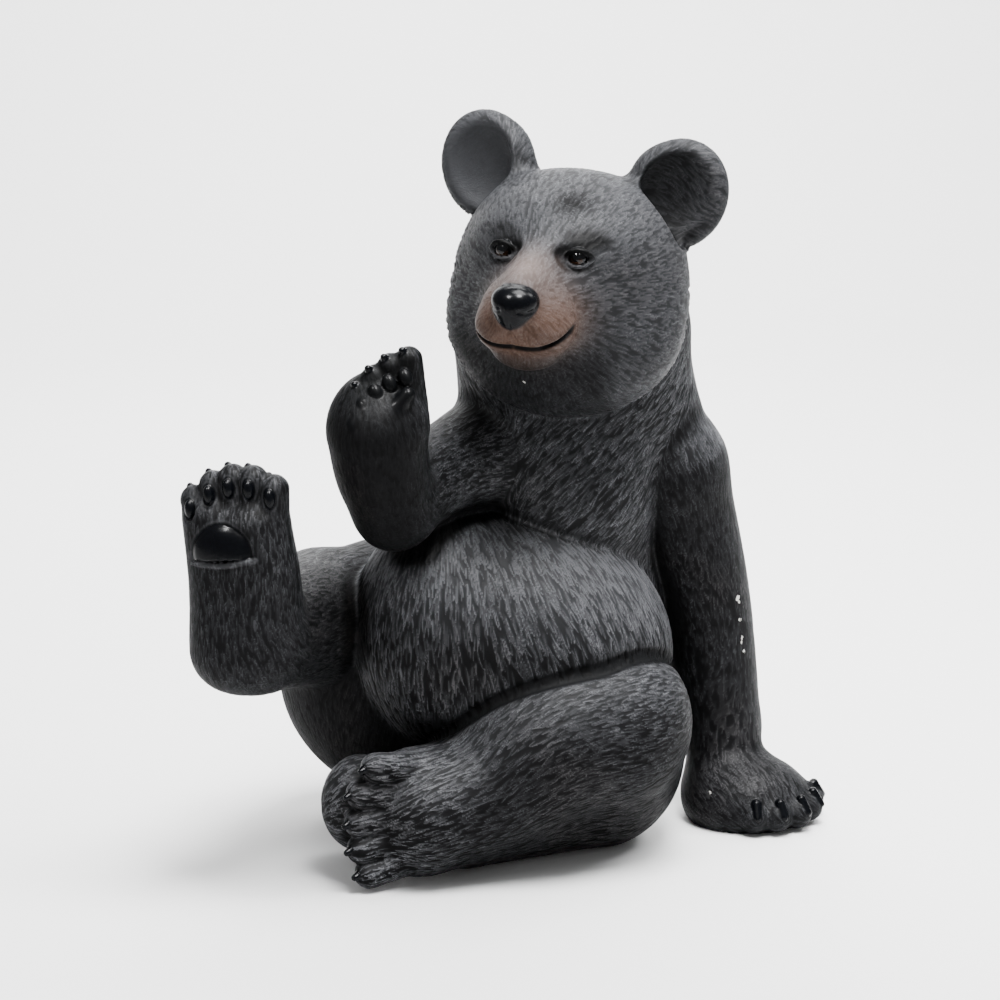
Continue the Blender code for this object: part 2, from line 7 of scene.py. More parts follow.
import bpy
import numpy as np
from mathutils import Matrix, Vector


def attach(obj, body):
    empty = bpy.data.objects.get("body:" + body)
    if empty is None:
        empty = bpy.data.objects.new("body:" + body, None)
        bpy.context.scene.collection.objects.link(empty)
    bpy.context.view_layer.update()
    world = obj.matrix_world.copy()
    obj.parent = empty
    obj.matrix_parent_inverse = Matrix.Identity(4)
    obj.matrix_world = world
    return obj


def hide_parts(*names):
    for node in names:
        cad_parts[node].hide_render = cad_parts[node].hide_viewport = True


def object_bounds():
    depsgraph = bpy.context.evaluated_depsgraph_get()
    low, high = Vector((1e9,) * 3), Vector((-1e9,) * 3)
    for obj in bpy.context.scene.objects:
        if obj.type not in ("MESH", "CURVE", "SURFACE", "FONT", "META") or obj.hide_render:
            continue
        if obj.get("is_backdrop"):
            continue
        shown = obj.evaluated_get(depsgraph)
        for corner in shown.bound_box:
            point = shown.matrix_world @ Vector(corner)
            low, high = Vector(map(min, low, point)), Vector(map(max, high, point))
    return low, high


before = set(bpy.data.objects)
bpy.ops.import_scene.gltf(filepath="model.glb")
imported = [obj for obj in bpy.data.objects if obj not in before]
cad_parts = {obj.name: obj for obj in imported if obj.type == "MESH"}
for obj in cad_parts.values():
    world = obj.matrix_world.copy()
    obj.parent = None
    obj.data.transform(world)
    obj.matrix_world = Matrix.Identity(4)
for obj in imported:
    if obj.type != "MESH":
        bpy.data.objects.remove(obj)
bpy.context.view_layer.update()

started = time.time()
mm = 0.001


def say(text):
    print(f"bear: {text} ({time.time() - started:.0f} s)")


def addObject(name, data):
    made = bpy.data.objects.new(name, data)
    bpy.context.scene.collection.objects.link(made)
    return made


# the form, in millimetres, as rounded masses merged with fillets

# merge two distances with a fillet, and cut one out of the other
def join(first, second, fillet):
    share = np.clip(0.5 + 0.5 * (second - first) / fillet, 0.0, 1.0)
    return second + (first - second) * share - fillet * share * (1.0 - share)


def cut(body, tool, fillet):
    return -join(-body, tool, fillet)


# rows are the turned axes
def turned(axis, degrees):
    c, s = cos(radians(degrees)), sin(radians(degrees))
    rows = {"y": ((c, 0, -s), (0, 1, 0), (s, 0, c)), "z": ((c, s, 0), (-s, c, 0), (0, 0, 1))}
    return np.array(rows[axis])


# a place with its own axes: side (the bear's left), forward and up
class Place:
    def __init__(self, origin=(0, 0, 0), forward=None, up=(0, 0, 1)):
        self.origin = np.array(origin, float)
        self.axes = np.eye(3)
        if forward is not None:
            forward = np.array(forward, float) / np.linalg.norm(forward)
            up = np.array(up, float) - forward * (forward @ up)
            up = up / np.linalg.norm(up)
            self.axes = np.array([np.cross(up, forward), forward, up])

    def world(self, point):
        return self.origin + np.asarray(point, float) @ self.axes

    def local(self, points):
        return (points - self.origin) @ self.axes.T

    # the same axes at another point
    def moved(self, point):
        place = Place(self.world(point))
        place.axes = self.axes
        return place


ground = Place()


# an ellipsoid; one with a floor has no part below that height
class Egg:
    def __init__(self, centre, radii, fillet=0.0, place=ground, turn=None, hollow=False, kind="fur",
                 floor=None):
        self.centre = place.world(centre)
        self.radii = np.array(radii, float)
        self.axes = place.axes if turn is None else turn @ place.axes
        self.floor = floor
        self.fillet, self.hollow, self.kind = fillet, hollow, kind
        self.middle, self.reach = self.centre, max(radii)

    def distance(self, points):
        local = (points - self.centre) @ self.axes.T
        first = np.linalg.norm(local / self.radii, axis=1)
        second = np.linalg.norm(local / self.radii ** 2, axis=1) + 1e-9
        distance = first * (first - 1.0) / second
        return distance if self.floor is None else np.maximum(distance, self.floor - local[:, 2])


# a smooth run of balls through stations that each carry a point and a radius
class Path:
    def __init__(self, stations, fillet=0.0, place=ground, hollow=False, kind="fur", steps=5):
        rows = np.array([(*place.world(point), radius) for point, radius in stations])
        self.cubics = cubicsThrough(rows)
        self.steps = steps if len(rows) > 2 else 1
        self.balls = self.at(np.arange((len(rows) - 1) * self.steps + 1) / self.steps)
        self.fillet, self.hollow, self.kind = fillet, hollow, kind
        self.middle = (self.balls[:, :3].min(axis=0) + self.balls[:, :3].max(axis=0)) / 2
        self.reach = np.max(np.linalg.norm(self.balls[:, :3] - self.middle, axis=1) + self.balls[:, 3])

    # point and radius at a share of the run, which is one for each stretch between stations
    def at(self, share):
        stretch = np.clip(np.floor(share).astype(int), 0, len(self.cubics) - 1)
        share = np.asarray(share - stretch)[..., None]
        first, second, third, fourth = np.moveaxis(self.cubics[stretch], -2, 0)
        return first + share * (second + share * (third + share * fourth))

    # the share where the nearest ball lies: the best sample, then the dip of a parabola
    def nearest(self, points):
        if len(self.balls) == 2:
            start, along = self.balls[0, :3], self.balls[1, :3] - self.balls[0, :3]
            return np.clip((points - start) @ along / (along @ along), 0.0, 1.0)
        away = np.array([np.linalg.norm(points - ball[:3], axis=1) - ball[3] for ball in self.balls])
        best = np.clip(np.argmin(away, axis=0), 1, len(away) - 2)
        every = np.arange(len(points))
        before, here, after = away[best - 1, every], away[best, every], away[best + 1, every]
        dip = (before - after) / np.maximum(before - 2 * here + after, 1e-6) / 2
        return (best + np.clip(dip, -1, 1)) / self.steps

    def distance(self, points):
        balls = self.at(self.nearest(points))
        return np.linalg.norm(points - balls[:, :3], axis=1) - balls[:, 3]


# one cubic curve for each stretch between rows, joined without a kink
def cubicsThrough(rows):
    ends = np.vstack([2 * rows[0] - rows[1], rows, 2 * rows[-1] - rows[-2]])
    cubics = []
    for before, start, end, after in zip(ends, ends[1:], ends[2:], ends[3:]):
        leave, arrive = (end - before) / 2, (after - start) / 2
        square = 3 * (end - start) - 2 * leave - arrive
        cubics.append([start, leave, square, 2 * (start - end) + leave + arrive])
    return np.array(cubics)


# a point, an egg or a run, mirrored for the bear's right side
def onSide(side, point):
    return (point[0] * side, point[1], point[2])


def eggOn(side, row, *more, **settings):
    centre, radii, fillet = row
    return Egg(onSide(side, centre), radii, fillet, *more, **settings)


def pathOn(side, stations, *more, **settings):
    return Path([(onSide(side, point), radius) for point, radius in stations], *more, **settings)


trunk = {
    "seat": ((0, 34, 72), (86, 66, 80), 22),
    "waist": ((24, 32, 130), (72, 62, 75), 22),
    "chest": ((36, 12, 200), (54, 54, 57), 22),
    "shoulders": ((41, 20, 246), (64, 52, 46), 22),
    "neck": ((39.5, 8, 288), (66, 50, 54), 22),
    "nape": ((38, 2, 322), (54, 48, 44), 22),
}
belly = {
    "ball": ((10, -15, 120), (88, 67, 72)),
    "tilt": 20,
    "flank": ((-34, -34, 128), (48, 46, 64), 16),
}


def bellyMasses():
    return [Egg(*belly["ball"], turn=turned("y", belly["tilt"])), Egg(*belly["flank"])]


head = {
    "centre": (36, -35, 319),
    "turn": 18,              # degrees to the bear's right
    "lean": 4,               # degrees to the bear's left
    "crown": ((8, -6, 12), (53, 55, 50), 6),
    "cheek": ((17, -4, -12), (47, 45, 46), 14),
    "jowl": ((20, 8, -24), (40, 36, 34), 14),
    "throat": ((0, 8, -34), (42, 42, 34), 16),
    "brow": ((0, 24, 24), (42, 31, 27), 12),
}
muzzle = {
    "stem": (((0, 30, -2), 38), ((0, 66, -6), 25)),
    "stemFillet": 18,
    "front": ((0, 77, -6), (21, 22, 18), 10),
    "lip": ((10.5, 78, -11.5), (13, 16, 10), 7),
    "chin": ((0, 68, -24), (17, 18, 10), 4),
    "bridge": (((0, 44, 24), 13), ((0, 90, 8), 9)),
    "bridgeFillet": 8,
    "mouth": (((0, 94, -18.5), 1.3), ((12, 92, -18.5), 1.3), ((19, 88, -15), 1.3), ((24, 80, -11), 1.3),
              ((28, 70, -7), 1.3)),
    "mouthFillet": 1.5,
}
nose = {
    "place": (0, 97, 3),
    "top": ((0, -2, 3.5), (11.8, 9.5, 7.5), 1.5),
    "body": ((0, -1.5, -0.5), (10.5, 10, 9), 4),
    "tip": ((0, -3, -7), (6.5, 8.5, 5.5), 4),
    "nostril": (((5.6, 7.6, -1.8), 1.2), ((8.4, 5.6, -2.6), 1.3), ((11.0, 1.5, -1.5), 0.8)),
    "nostrilFillet": 1.2,
    "groove": (((0, 8.5, -5), 0.7), ((0, 2, -16), 0.9)),
    "grooveFillet": 1.5,
}


def headPlace():
    turn, lean = radians(head["turn"]), radians(head["lean"])
    side = np.array([cos(turn), -sin(turn), 0])
    up = np.array([0, 0, 1]) * cos(lean) + side * sin(lean)
    return Place(head["centre"], (-sin(turn), -cos(turn), 0), up)


face = headPlace()


def headMasses():
    masses = []
    for name in ("crown", "cheek", "jowl"):
        masses += [eggOn(side, head[name], face) for side in (1, -1)]
    masses += [Egg(*head[name], face) for name in ("throat", "brow")]
    return masses + muzzleMasses() + noseMasses() + eyeMasses()


def muzzleMasses():
    masses = [Path(muzzle["stem"], muzzle["stemFillet"], face), Egg(*muzzle["front"], face)]
    masses += [eggOn(side, muzzle["lip"], face) for side in (1, -1)]
    masses.append(Egg(*muzzle["chin"], face))
    masses.append(Path(muzzle["bridge"], muzzle["bridgeFillet"], face))
    mouth, fillet = muzzle["mouth"], muzzle["mouthFillet"]
    return masses + [pathOn(side, mouth, fillet, face, hollow=True, kind="mouth") for side in (1, -1)]


# a rounded triangular pad, with a comma for each nostril and a groove down to the lip
def noseMasses():
    at = face.moved(nose["place"])
    masses = [Egg(*nose[name], at, kind="nose") for name in ("top", "body", "tip")]
    nostril, fillet = nose["nostril"], nose["nostrilFillet"]
    masses += [pathOn(side, nostril, fillet, at, hollow=True, kind="nostril") for side in (1, -1)]
    masses.append(Path(nose["groove"], nose["grooveFillet"], at, hollow=True, kind="nostril"))
    return masses


eye = {
    "place": (20, 54, 24.7),
    "socket": ((1.5, 6.5, 1.2), (11, 5.5, 7.5), 4.5),
    "corner": (((6, 3.5, 1), 2.0), ((11, 0, -2), 1.6), ((17, -6, -6), 0.8)),
    "cornerFillet": 3,
    "ball": ((0, 0, 0), (4.9, 4.9, 4.9), 0.4),
    "upperLid": (((-6.4, 2.0, -0.6), 1.3), ((-3.8, 3.9, 2.9), 1.3), ((0.4, 4.0, 4.3), 1.3),
                 ((4.8, 2.2, 3.3), 1.3), ((7.6, -0.6, 0.2), 1.3)),
    "lowerLid": (((-6.4, 2.0, -0.8), 0.9), ((-3.4, 3.8, -3.6), 0.9), ((1.0, 3.9, -4.3), 0.9),
                 ((5.0, 1.9, -3.3), 0.9), ((7.6, -0.6, 0.0), 0.9)),
    "lidFillet": 1.2,
}


# a domed eye in a hollow that runs on past its outer corner, between two thin lids
def eyeMasses():
    masses = []
    for side in (1, -1):
        at = face.moved(onSide(side, eye["place"]))
        masses.append(eggOn(side, eye["socket"], at, hollow=True, kind="socket"))
        masses.append(pathOn(side, eye["corner"], eye["cornerFillet"], at, hollow=True, kind="socket"))
        masses.append(Egg(*eye["ball"], at, kind="eye"))
        for lid in ("upperLid", "lowerLid"):
            masses.append(pathOn(side, eye[lid], eye["lidFillet"], at, kind="lid"))
    return masses


ear = {
    "place": (54, -25, 55),
    "shift": -4.0,
    "rise": 2.5,
    "splay": (20, 14),       # degrees out at the top, left ear and right ear
    "yaw": -6,               # degrees that it faces outwards
    "blade": ((0, 0, 0), (27, 12, 30.5), 6),
    "front": (((-18, 3, -15), 15), ((-10, 1, 8), 12)),
    "frontFillet": 10,
    "dish": ((6, 14, 1), (24, 12, 28), 3.5),
    "dishYaw": 8,
}


def earMasses():
    x, y, z = ear["place"]
    masses = []
    for side, splay in zip((1, -1), ear["splay"]):
        at = face.moved((x * side + ear["shift"], y, z - ear["rise"] * side))
        turn = turned("y", splay * side) @ turned("z", ear["yaw"] * side)
        masses.append(Egg(*ear["blade"], at, turn))
        masses.append(pathOn(side, ear["front"], ear["frontFillet"], at))
        turn = turned("y", splay * side) @ turned("z", ear["dishYaw"] * side)
        masses.append(eggOn(side, ear["dish"], at, turn, hollow=True, kind="earHollow"))
    return masses


toeFillet = 2.5
clawFillet = 0.9
clawRadii = (2.6, 1.9)       # at the bed and at the tip


def claw(bed, tip, place):
    return Path(list(zip((bed, tip), clawRadii)), clawFillet, place, kind="claw")


# five toes in a bow across a paw: share of the way, height, toe, claw and the place of its tip
def toeRow(limb, place):
    middle, spread = limb["toeAcross"]
    top, slope, bow = limb["toeTop"]
    inward, rootAhead, rootDrop, rootRadius = limb["toeRoot"]
    endAhead, endDrop, endRadius = limb["toeEnd"]
    for share in (-1, -0.5, 0, 0.5, 1):
        x, z = middle + spread * share, top + slope * share + bow * share ** 2
        toe = [((x * inward, rootAhead, z + rootDrop), rootRadius), ((x, endAhead, z + endDrop), endRadius)]
        tip = place.moved((x, 0, z))
        yield share, z, Path(toe, toeFillet, place), claw(limb["clawBed"], limb["clawTip"], tip), tip


leftArm = {
    "collar": (((60, 20, 286), 28), ((93, 23, 208), 32.5)),
    "front": (((93, 23, 208), 32.5), ((115, 34, 130), 26.5), ((129, 37, 52), 21)),
    "back": (((95, 35, 205), 31), ((117, 46, 127), 25), ((131, 49, 49), 19.5)),
    "fillet": 12,
    "crease": (2.5, 16, 208, 246),   # the fillet to the chest, low and high, and between which heights
}
leftHand = {
    "heel": (((129, 37, 52), 21), ((131, 32, 24), 22)),
    "palm": ((142, 21, 12), (37, 33.5, 26)),
    "fillet": 12,
    "toes": (-84, 23, 5),    # heading of the first, degrees between them, how many
    "toeRoot": (16, 15, 12), # reach, height, radius
    "toeTip": (30, 10, 8.8),
    "stretch": (2.6, -1.2),  # how much longer each is than the last, and less so past the third
    "clawBed": (33, 19, 2.7),
    "clawTip": (38, 12, 2.0),
}


def leftHandMasses():
    centre, radii = leftHand["palm"]
    masses = [Path(leftHand["heel"], leftHand["fillet"]), Egg(centre, radii, leftHand["fillet"])]
    first, between, count = leftHand["toes"]
    for toe in range(count):
        angle = radians(first + between * toe)
        longer = leftHand["stretch"][0] * toe + leftHand["stretch"][1] * max(0, toe - 2)
        stations = []
        for name in ("toeRoot", "toeTip", "clawBed", "clawTip"):
            reach, height, radius = leftHand[name]
            reach += longer
            across, ahead = cos(angle) * reach, sin(angle) * reach
            stations.append(((centre[0] + across, centre[1] + ahead, height), radius))
        masses.append(Path(stations[:2], toeFillet))
        masses.append(Path(stations[2:], clawFillet, kind="claw"))
    return masses


rightArm = {
    "upper": (((-2, 2, 222), 34), ((-32, -32, 217), 24.5), ((-56, -70, 207), 21)),
    "fore": (((-57, -74, 205), 21), ((-62, -86, 228), 25), ((-65, -92, 250), 26)),
    "fillet": 10,
    "hand": (-62, -100, 261),
    "facing": (-0.10, -0.97, 0.20),
    "up": (-0.5, 0, 1),
    "palm": ((-1.5, -6, 0), (25, 16, 25), 8),
    "ridge": (((18, 8, 3), 4), ((1, 8, -5), 4.5)),
    "ridgeFillet": 3,
    "toeAcross": (5.5, 20),  # middle and half spread
    "toeTop": (25, 6, -5.4), # height of the middle toe, slope and bow
    "toeRoot": (0.62, -8, -24, 9.5),
    "toeEnd": (-1, -6, 7.2),
    "padAcross": (3.5, 17),
    "pad": (8.8, -3.0, -14), # ahead, slant and drop
    "padSize": (3.6, 2.8, 5.2),
    "padFillet": 0.8,
    "clawBed": (0, 2, -3),
    "clawTip": (-0.5, 5, -0.5),
}


def rightArmMasses():
    masses = [Path(rightArm[name], rightArm["fillet"]) for name in ("upper", "fore")]
    place = Place(rightArm["hand"], rightArm["facing"], rightArm["up"])
    masses.append(Egg(*rightArm["palm"], place))
    masses.append(Path(rightArm["ridge"], rightArm["ridgeFillet"], place, kind="pad"))
    middle, spread = rightArm["padAcross"]
    ahead, slant, drop = rightArm["pad"]
    for share, z, toe, nail, tip in toeRow(rightArm, place):
        pad = (middle + spread * share, ahead + slant * share, z + drop)
        masses += [toe, Egg(pad, rightArm["padSize"], rightArm["padFillet"], place, kind="pad"), nail]
    return masses


rightLeg = {
    "hip": ((-40, 14, 92), (87, 64, 78), 16),
    "thigh": (((-52, 18, 124), 42), ((-101, -10, 130), 35)),
    "thighFillet": 16,
    "shin": (((-101, -10, 130), 38), ((-130, -88, 140), 31)),
    "fillet": 8,
    "foot": (-136, -106, 172),
    "facing": (-0.28, -0.96, 0),
    "up": (-0.09, 0, 1),
    "sole": (((1, -14, -36), 24), ((1, -12, 0), 22), ((1, -10, 26), 20)),
    "outer": (((-12.5, -9, -37), 22.5), ((-13, -8, 0), 18.5), ((-15.5, -8, 34), 16)),
    "inner": (((7, -10, -32), 18), ((11, -8, 0), 18), ((12, -8, 30), 15)),
    "trough": ((-5, 11, 18), (19.5, 5, 19.5), 0.8),
    "troughFloor": -3.4,
    "pad": ((-5, 5, 18), (17.5, 8, 17.5), 0.4),
    "padFloor": -2.2,
    "rim": (((-22, 9.3, 14), 1.2), ((-5, 10.5, 13), 1.4), ((13, 9.3, 15), 1.2)),
    "rimFillet": 0.8,
    "toeAcross": (-0.8, 22.4),
    "toeTop": (63.5, 2.2, -8.4),
    "toeRoot": (0.8, -8, -32, 9),
    "toeEnd": (-6, -8, 8),
    "dent": ((0, 5, -11.5), (4.3, 3.4, 6.8), 0.8),
    "toePad": ((0, 2, -11.5), (3.0, 3.2, 5.4), 0.3),
    "clawBed": (-3, -9, -4),
    "clawTip": (-3, -8, -1),
}


def rightThighMasses():
    return [Egg(*rightLeg["hip"]), Path(rightLeg["thigh"], rightLeg["thighFillet"])]


# a flat sole with a pad under each toe, and a large one in a trough with a straight lower edge
def rightFootMasses():
    place = Place(rightLeg["foot"], rightLeg["facing"], rightLeg["up"])
    masses = [Path(rightLeg["shin"], rightLeg["fillet"])]
    masses += [Path(rightLeg[name], rightLeg["fillet"], place) for name in ("sole", "outer", "inner")]
    for share, z, toe, nail, tip in toeRow(rightLeg, place):
        masses += [toe, nail, Egg(*rightLeg["dent"], tip, hollow=True)]
        masses.append(Egg(*rightLeg["toePad"], tip, kind="pad"))
    masses.append(Egg(*rightLeg["trough"], place, hollow=True, floor=rightLeg["troughFloor"]))
    masses.append(Egg(*rightLeg["pad"], place, kind="pad", floor=rightLeg["padFloor"]))
    masses.append(Path(rightLeg["rim"], rightLeg["rimFillet"], place, kind="rim"))
    return masses


leftLeg = {
    "thigh": ((56, -10, 50), (48, 48, 50), 14),
    "shin": (((56, -40, 77), 50), ((28, -53, 72), 47.5), ((-4, -66, 51), 37), ((-38, -78, 39), 32)),
    "shinFillet": 14,
    "calf": (((50, -20, 44), 45), ((-20, -56, 33), 34)),
    "calfFillet": 10,
    "foot": ((-46, -80, 38), (33, 22, 36), 8),
    "heel": ((-76, -76, 42), (22, 20, 27), 6),
    "toeRoot": ((-42, -84, 9), 0.8, 9.5),    # the roots lie closer together than the tips
    "toeTop": (69, 54.5, 38.5, 23.5, 9.5),
    "toeEnd": (-67, -75, -76, -75, -71),
    "toeAhead": (-98, 8.2),
    "clawBed": (-5, -4, 1),
    "clawTip": (-7.5, -6.5, 0),
}


def leftLegMasses():
    masses = [Egg(*leftLeg["thigh"]), Path(leftLeg["shin"], leftLeg["shinFillet"])]
    masses.append(Path(leftLeg["calf"], leftLeg["calfFillet"]))
    masses += [Egg(*leftLeg[name]) for name in ("foot", "heel")]
    (rootX, rootY, rootZ), closer, rootRadius = leftLeg["toeRoot"]
    endY, endRadius = leftLeg["toeAhead"]
    for x, z in zip(leftLeg["toeEnd"], leftLeg["toeTop"]):
        toe = [((rootX, rootY, closer * z + rootZ), rootRadius), ((x, endY, z), endRadius)]
        masses.append(Path(toe, toeFillet))
        masses.append(claw(leftLeg["clawBed"], leftLeg["clawTip"], Place((x, endY, z))))
    return masses


# the points within a margin of a mass
def within(mass, points, margin):
    offset = points - mass.middle
    return np.flatnonzero(np.einsum("ij,ij->i", offset, offset) < (mass.reach + margin) ** 2)


# a group is merged into the rest with one fillet, or with one that grows between two heights
class Group:
    margin = 24.0            # how far outside itself it is still worked out

    def __init__(self, name, fillet, masses):
        self.name, self.fillet, self.masses = name, fillet, masses
        solid = [mass for mass in masses if not mass.hollow]
        self.low = np.min([mass.middle - mass.reach for mass in solid], axis=0) - self.margin
        self.high = np.max([mass.middle + mass.reach for mass in solid], axis=0) + self.margin

    def near(self, points):
        return np.flatnonzero(((points > self.low) & (points < self.high)).all(axis=1))

    def filletAt(self, points):
        if not isinstance(self.fillet, tuple):
            return self.fillet
        narrow, wide, low, high = self.fillet
        return narrow + (wide - narrow) * np.clip((points[:, 2] - low) / (high - low), 0, 1)

    def distance(self, points):
        total = self.masses[0].distance(points)
        for mass in self.masses[1:]:
            near = within(mass, points, self.margin)
            if not len(near):
                continue
            here, old = mass.distance(points[near]), total[near]
            if mass.hollow:
                total[near] = cut(old, here, mass.fillet)
            elif mass.fillet:
                total[near] = join(old, here, mass.fillet)
            else:
                total[near] = np.minimum(old, here)
        return total


groups = [
    Group("trunk", 0.01, [Egg(*row) for row in trunk.values()]),
    Group("leftArm", leftArm["crease"],
          [Path(leftArm[name], leftArm["fillet"]) for name in ("collar", "front", "back")]),
    Group("rightThigh", 16, rightThighMasses()),
    Group("head", 5, headMasses() + earMasses()),
    Group("belly", 3, bellyMasses()),
    Group("rightArm", 7, rightArmMasses()),
    Group("rightFoot", 6, rightFootMasses()),
    Group("leftLeg", 3, leftLegMasses()),
    Group("leftHand", 6, leftHandMasses()),
]
rowOf = {group.name: row for row, group in enumerate(groups)}
farAway = 60.0


def bodyDistance(points, parts=None):
    total = np.full(len(points), farAway)
    for row, group in enumerate(groups):
        near = group.near(points)
        if not len(near):
            continue
        here = group.distance(points[near])
        if parts is not None:
            parts[row, near] = here
        total[near] = join(total[near], here, group.filletAt(points[near]))
    return np.maximum(total, -points[:, 2])      # cut flat where it stands


# the skin: the solid remeshed finely and settled on the form

skin = {
    "cell": 1.55,            # mm, everywhere
    "probe": 0.2,
    "longest": 2.0,          # a point's longest step as it settles, mm
    "sight": (0.0, -0.98, 0.22),
    "frontDepth": 0.02,      # how far a face may look backwards and still be cut finer
    "backTo": 0.03,          # no face further back is, metres
    "downTo": 0.004,         # nor one further down
}


# a value, or a row of values, for each item of a mesh
def readFrom(items, name, wide=1, kind=float):
    values = np.empty(len(items) * wide, kind)
    items.foreach_get(name, values)
    return values.reshape(-1, wide) if wide > 1 else values


def pointsOf(mesh):
    return readFrom(mesh.vertices, "co", 3)


def normalsOf(mesh):
    return readFrom(mesh.vertex_normals, "vector", 3)


def faceStarts(sizes):
    return np.concatenate(([0], np.cumsum(sizes)[:-1]))


def meshFrom(name, points, corners, sizes):
    mesh = bpy.data.meshes.new(name)
    mesh.vertices.add(len(points))
    mesh.vertices.foreach_set("co", np.asarray(points, np.float32).ravel())
    mesh.loops.add(len(corners))
    mesh.loops.foreach_set("vertex_index", np.asarray(corners, np.int32))
    mesh.polygons.add(len(sizes))
    mesh.polygons.foreach_set("loop_start", faceStarts(sizes).astype(np.int32))
    mesh.update(calc_edges=True)
    return mesh


def remeshedSolid(cell):
    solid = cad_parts["bear"]
    mesh = solid.data.copy()
    mesh.transform(solid.matrix_world)
    mesh.materials.clear()
    draft = addObject("draft", mesh)
    modifier = draft.modifiers.new("fuse", "REMESH")
    modifier.mode = "VOXEL"
    modifier.voxel_size = cell * mm
    bpy.context.view_layer.update()
    done = bpy.data.meshes.new_from_object(draft.evaluated_get(bpy.context.evaluated_depsgraph_get()))
    bpy.data.objects.remove(draft)
    bpy.data.meshes.remove(mesh)
    return done


fit = {
    "guess": (11.0, -19.0),  # mm
    "rounds": 5,
    "step": 0.1,
    "above": 3.0,            # the ground, so that the flat underside is left out
    "closer": 1.5,           # than this to the form, so that what was thinned away is left out
}


# where the finished bear stands from the point that the form is measured from
def findShift():
    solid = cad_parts["bear"]
    place = np.array(solid.matrix_world)
    points = (pointsOf(solid.data) @ place[:3, :3].T + place[:3, 3]) / mm
    points = points[points[:, 2] > fit["above"]]
    shift, step = np.array(fit["guess"]), fit["step"]
    for _ in range(fit["rounds"]):
        moved = points + [*shift, 0]
        here = bodyDistance(moved)
        slopes = [(bodyDistance(moved + move) - here) / step for move in ([step, 0, 0], [0, step, 0])]
        keep = np.abs(here) < fit["closer"]
        shift = shift - np.linalg.lstsq(np.stack(slopes, axis=1)[keep], here[keep], rcond=None)[0]
    print("bear: the form fits the solid within", round(float(np.sqrt(np.mean(here[keep] ** 2))), 3), "mm")
    return np.array([*shift, 0.0])


def settle(mesh, steps):
    for _ in range(steps):
        points = pointsOf(mesh) / mm + shift
        normals = normalsOf(mesh)
        here = bodyDistance(points)
        slope = np.maximum((bodyDistance(points + normals * skin["probe"]) - here) / skin["probe"], 0.35)
        points = points - normals * np.clip(here / slope, -skin["longest"], skin["longest"])[:, None]
        mesh.vertices.foreach_set("co", ((points - shift) * mm).astype(np.float32).ravel())
        mesh.update()


# cut the chosen quads in four; their neighbours take the new points into their rims
def refine(mesh, chosen):
    points = pointsOf(mesh)
    quads = readFrom(mesh.loops, "vertex_index", kind=np.int32).reshape(-1, 4)
    edgeOf = readFrom(mesh.loops, "edge_index", kind=np.int32).reshape(-1, 4)
    ends = readFrom(mesh.edges, "vertices", 2, np.int32)
    split = np.zeros(len(ends), bool)
    split[edgeOf[chosen].ravel()] = True
    middleOf = np.full(len(ends), -1)
    middleOf[split] = len(points) + np.arange(split.sum())
    middles = points[ends[split]].mean(axis=1)
    centreOf = len(points) + len(middles) + np.arange(chosen.sum())
    allPoints = np.vstack([points, middles, points[quads[chosen]].mean(axis=1)])
    corner, middle = quads[chosen], middleOf[edgeOf[chosen]]
    small = [np.stack([corner[:, k], middle[:, k], centreOf, middle[:, k - 1]], axis=1) for k in range(4)]
    small = np.stack(small, axis=1).reshape(-1, 4)
    rest = ~chosen
    pairs = np.stack([quads[rest], middleOf[edgeOf[rest]]], axis=2).reshape(-1, 8)
    sizes = np.concatenate([np.full(len(small), 4), (pairs >= 0).sum(axis=1)])
    corners = np.concatenate([small.ravel(), pairs[pairs >= 0]])
    return meshFrom("skin", allPoints, corners, sizes)


shift = findShift()
mesh = remeshedSolid(skin["cell"] * (1))
say(f"{len(mesh.polygons)} faces of remeshed solid")
settle(mesh, 3)
say("settled on the form")
faceNormals, faceCentres = (readFrom(mesh.polygons, name, 3) for name in ("normal", "center"))
chosen = faceNormals @ np.array(skin["sight"]) > -skin["frontDepth"]
chosen &= (faceCentres[:, 1] < skin["backTo"]) & (faceCentres[:, 2] > skin["downTo"])
mesh = refine(mesh, chosen)
settle(mesh, 2)
say(f"{len(mesh.vertices)} points of refined skin")

points = pointsOf(mesh) / mm + shift
normals = normalsOf(mesh)
parts = np.full((len(groups), len(points)), farAway)
bodyDistance(points, parts)


# the fur: which way it lies, and each lock of it

combs = {                    # width, length and depth of a lock, mm
    "trunk": (2.3, 7.5, 0.40),
    "leftArm": (2.2, 6.5, 0.24),
    "rightThigh": (2.3, 7.5, 0.30),
    "head": (2.3, 6.5, 0.34),
    "belly": (2.7, 10.5, 0.78),
    "rightArm": (2.2, 6.5, 0.24),
    "rightFoot": (2.2, 6.5, 0.22),
    "leftLeg": (2.3, 7.5, 0.40),
    "leftHand": (2.2, 6.5, 0.28),
}
edges = {                    # under an overhang: the reach, then how much wider, longer and deeper
    "ruff": (30.0, 0.75, 0.35, 1.1),
    "bellyEdge": (9.0, 0.1, 0.2, 0.4),
}
ruffBelow = (-42, -28)       # the ruff ends between these heights of the head
gapUnderBelly = (1.5, 5.5, 1.6)          # sunk fully and not at all this far from belly and leg, how deep
fur = {
    "cover": 2.6,            # how many locks lie over each point
    "filled": 0.6,           # share of its box that a lock fills
    "coarser": 1.6,          # width and length at the back, where the mesh is coarser
    "coarseAreas": (0.45, 0.75),         # mm2 to a point, front and back
    "stray": 7.0,            # degrees
    "seed": 41,
}


def smooth(value, low, high):
    share = np.clip((value - low) / (high - low), 0.0, 1.0)
    return share * share * (3 - 2 * share)


def unit(vectors):
    return vectors / np.maximum(np.linalg.norm(vectors, axis=1), 1e-9)[:, None]


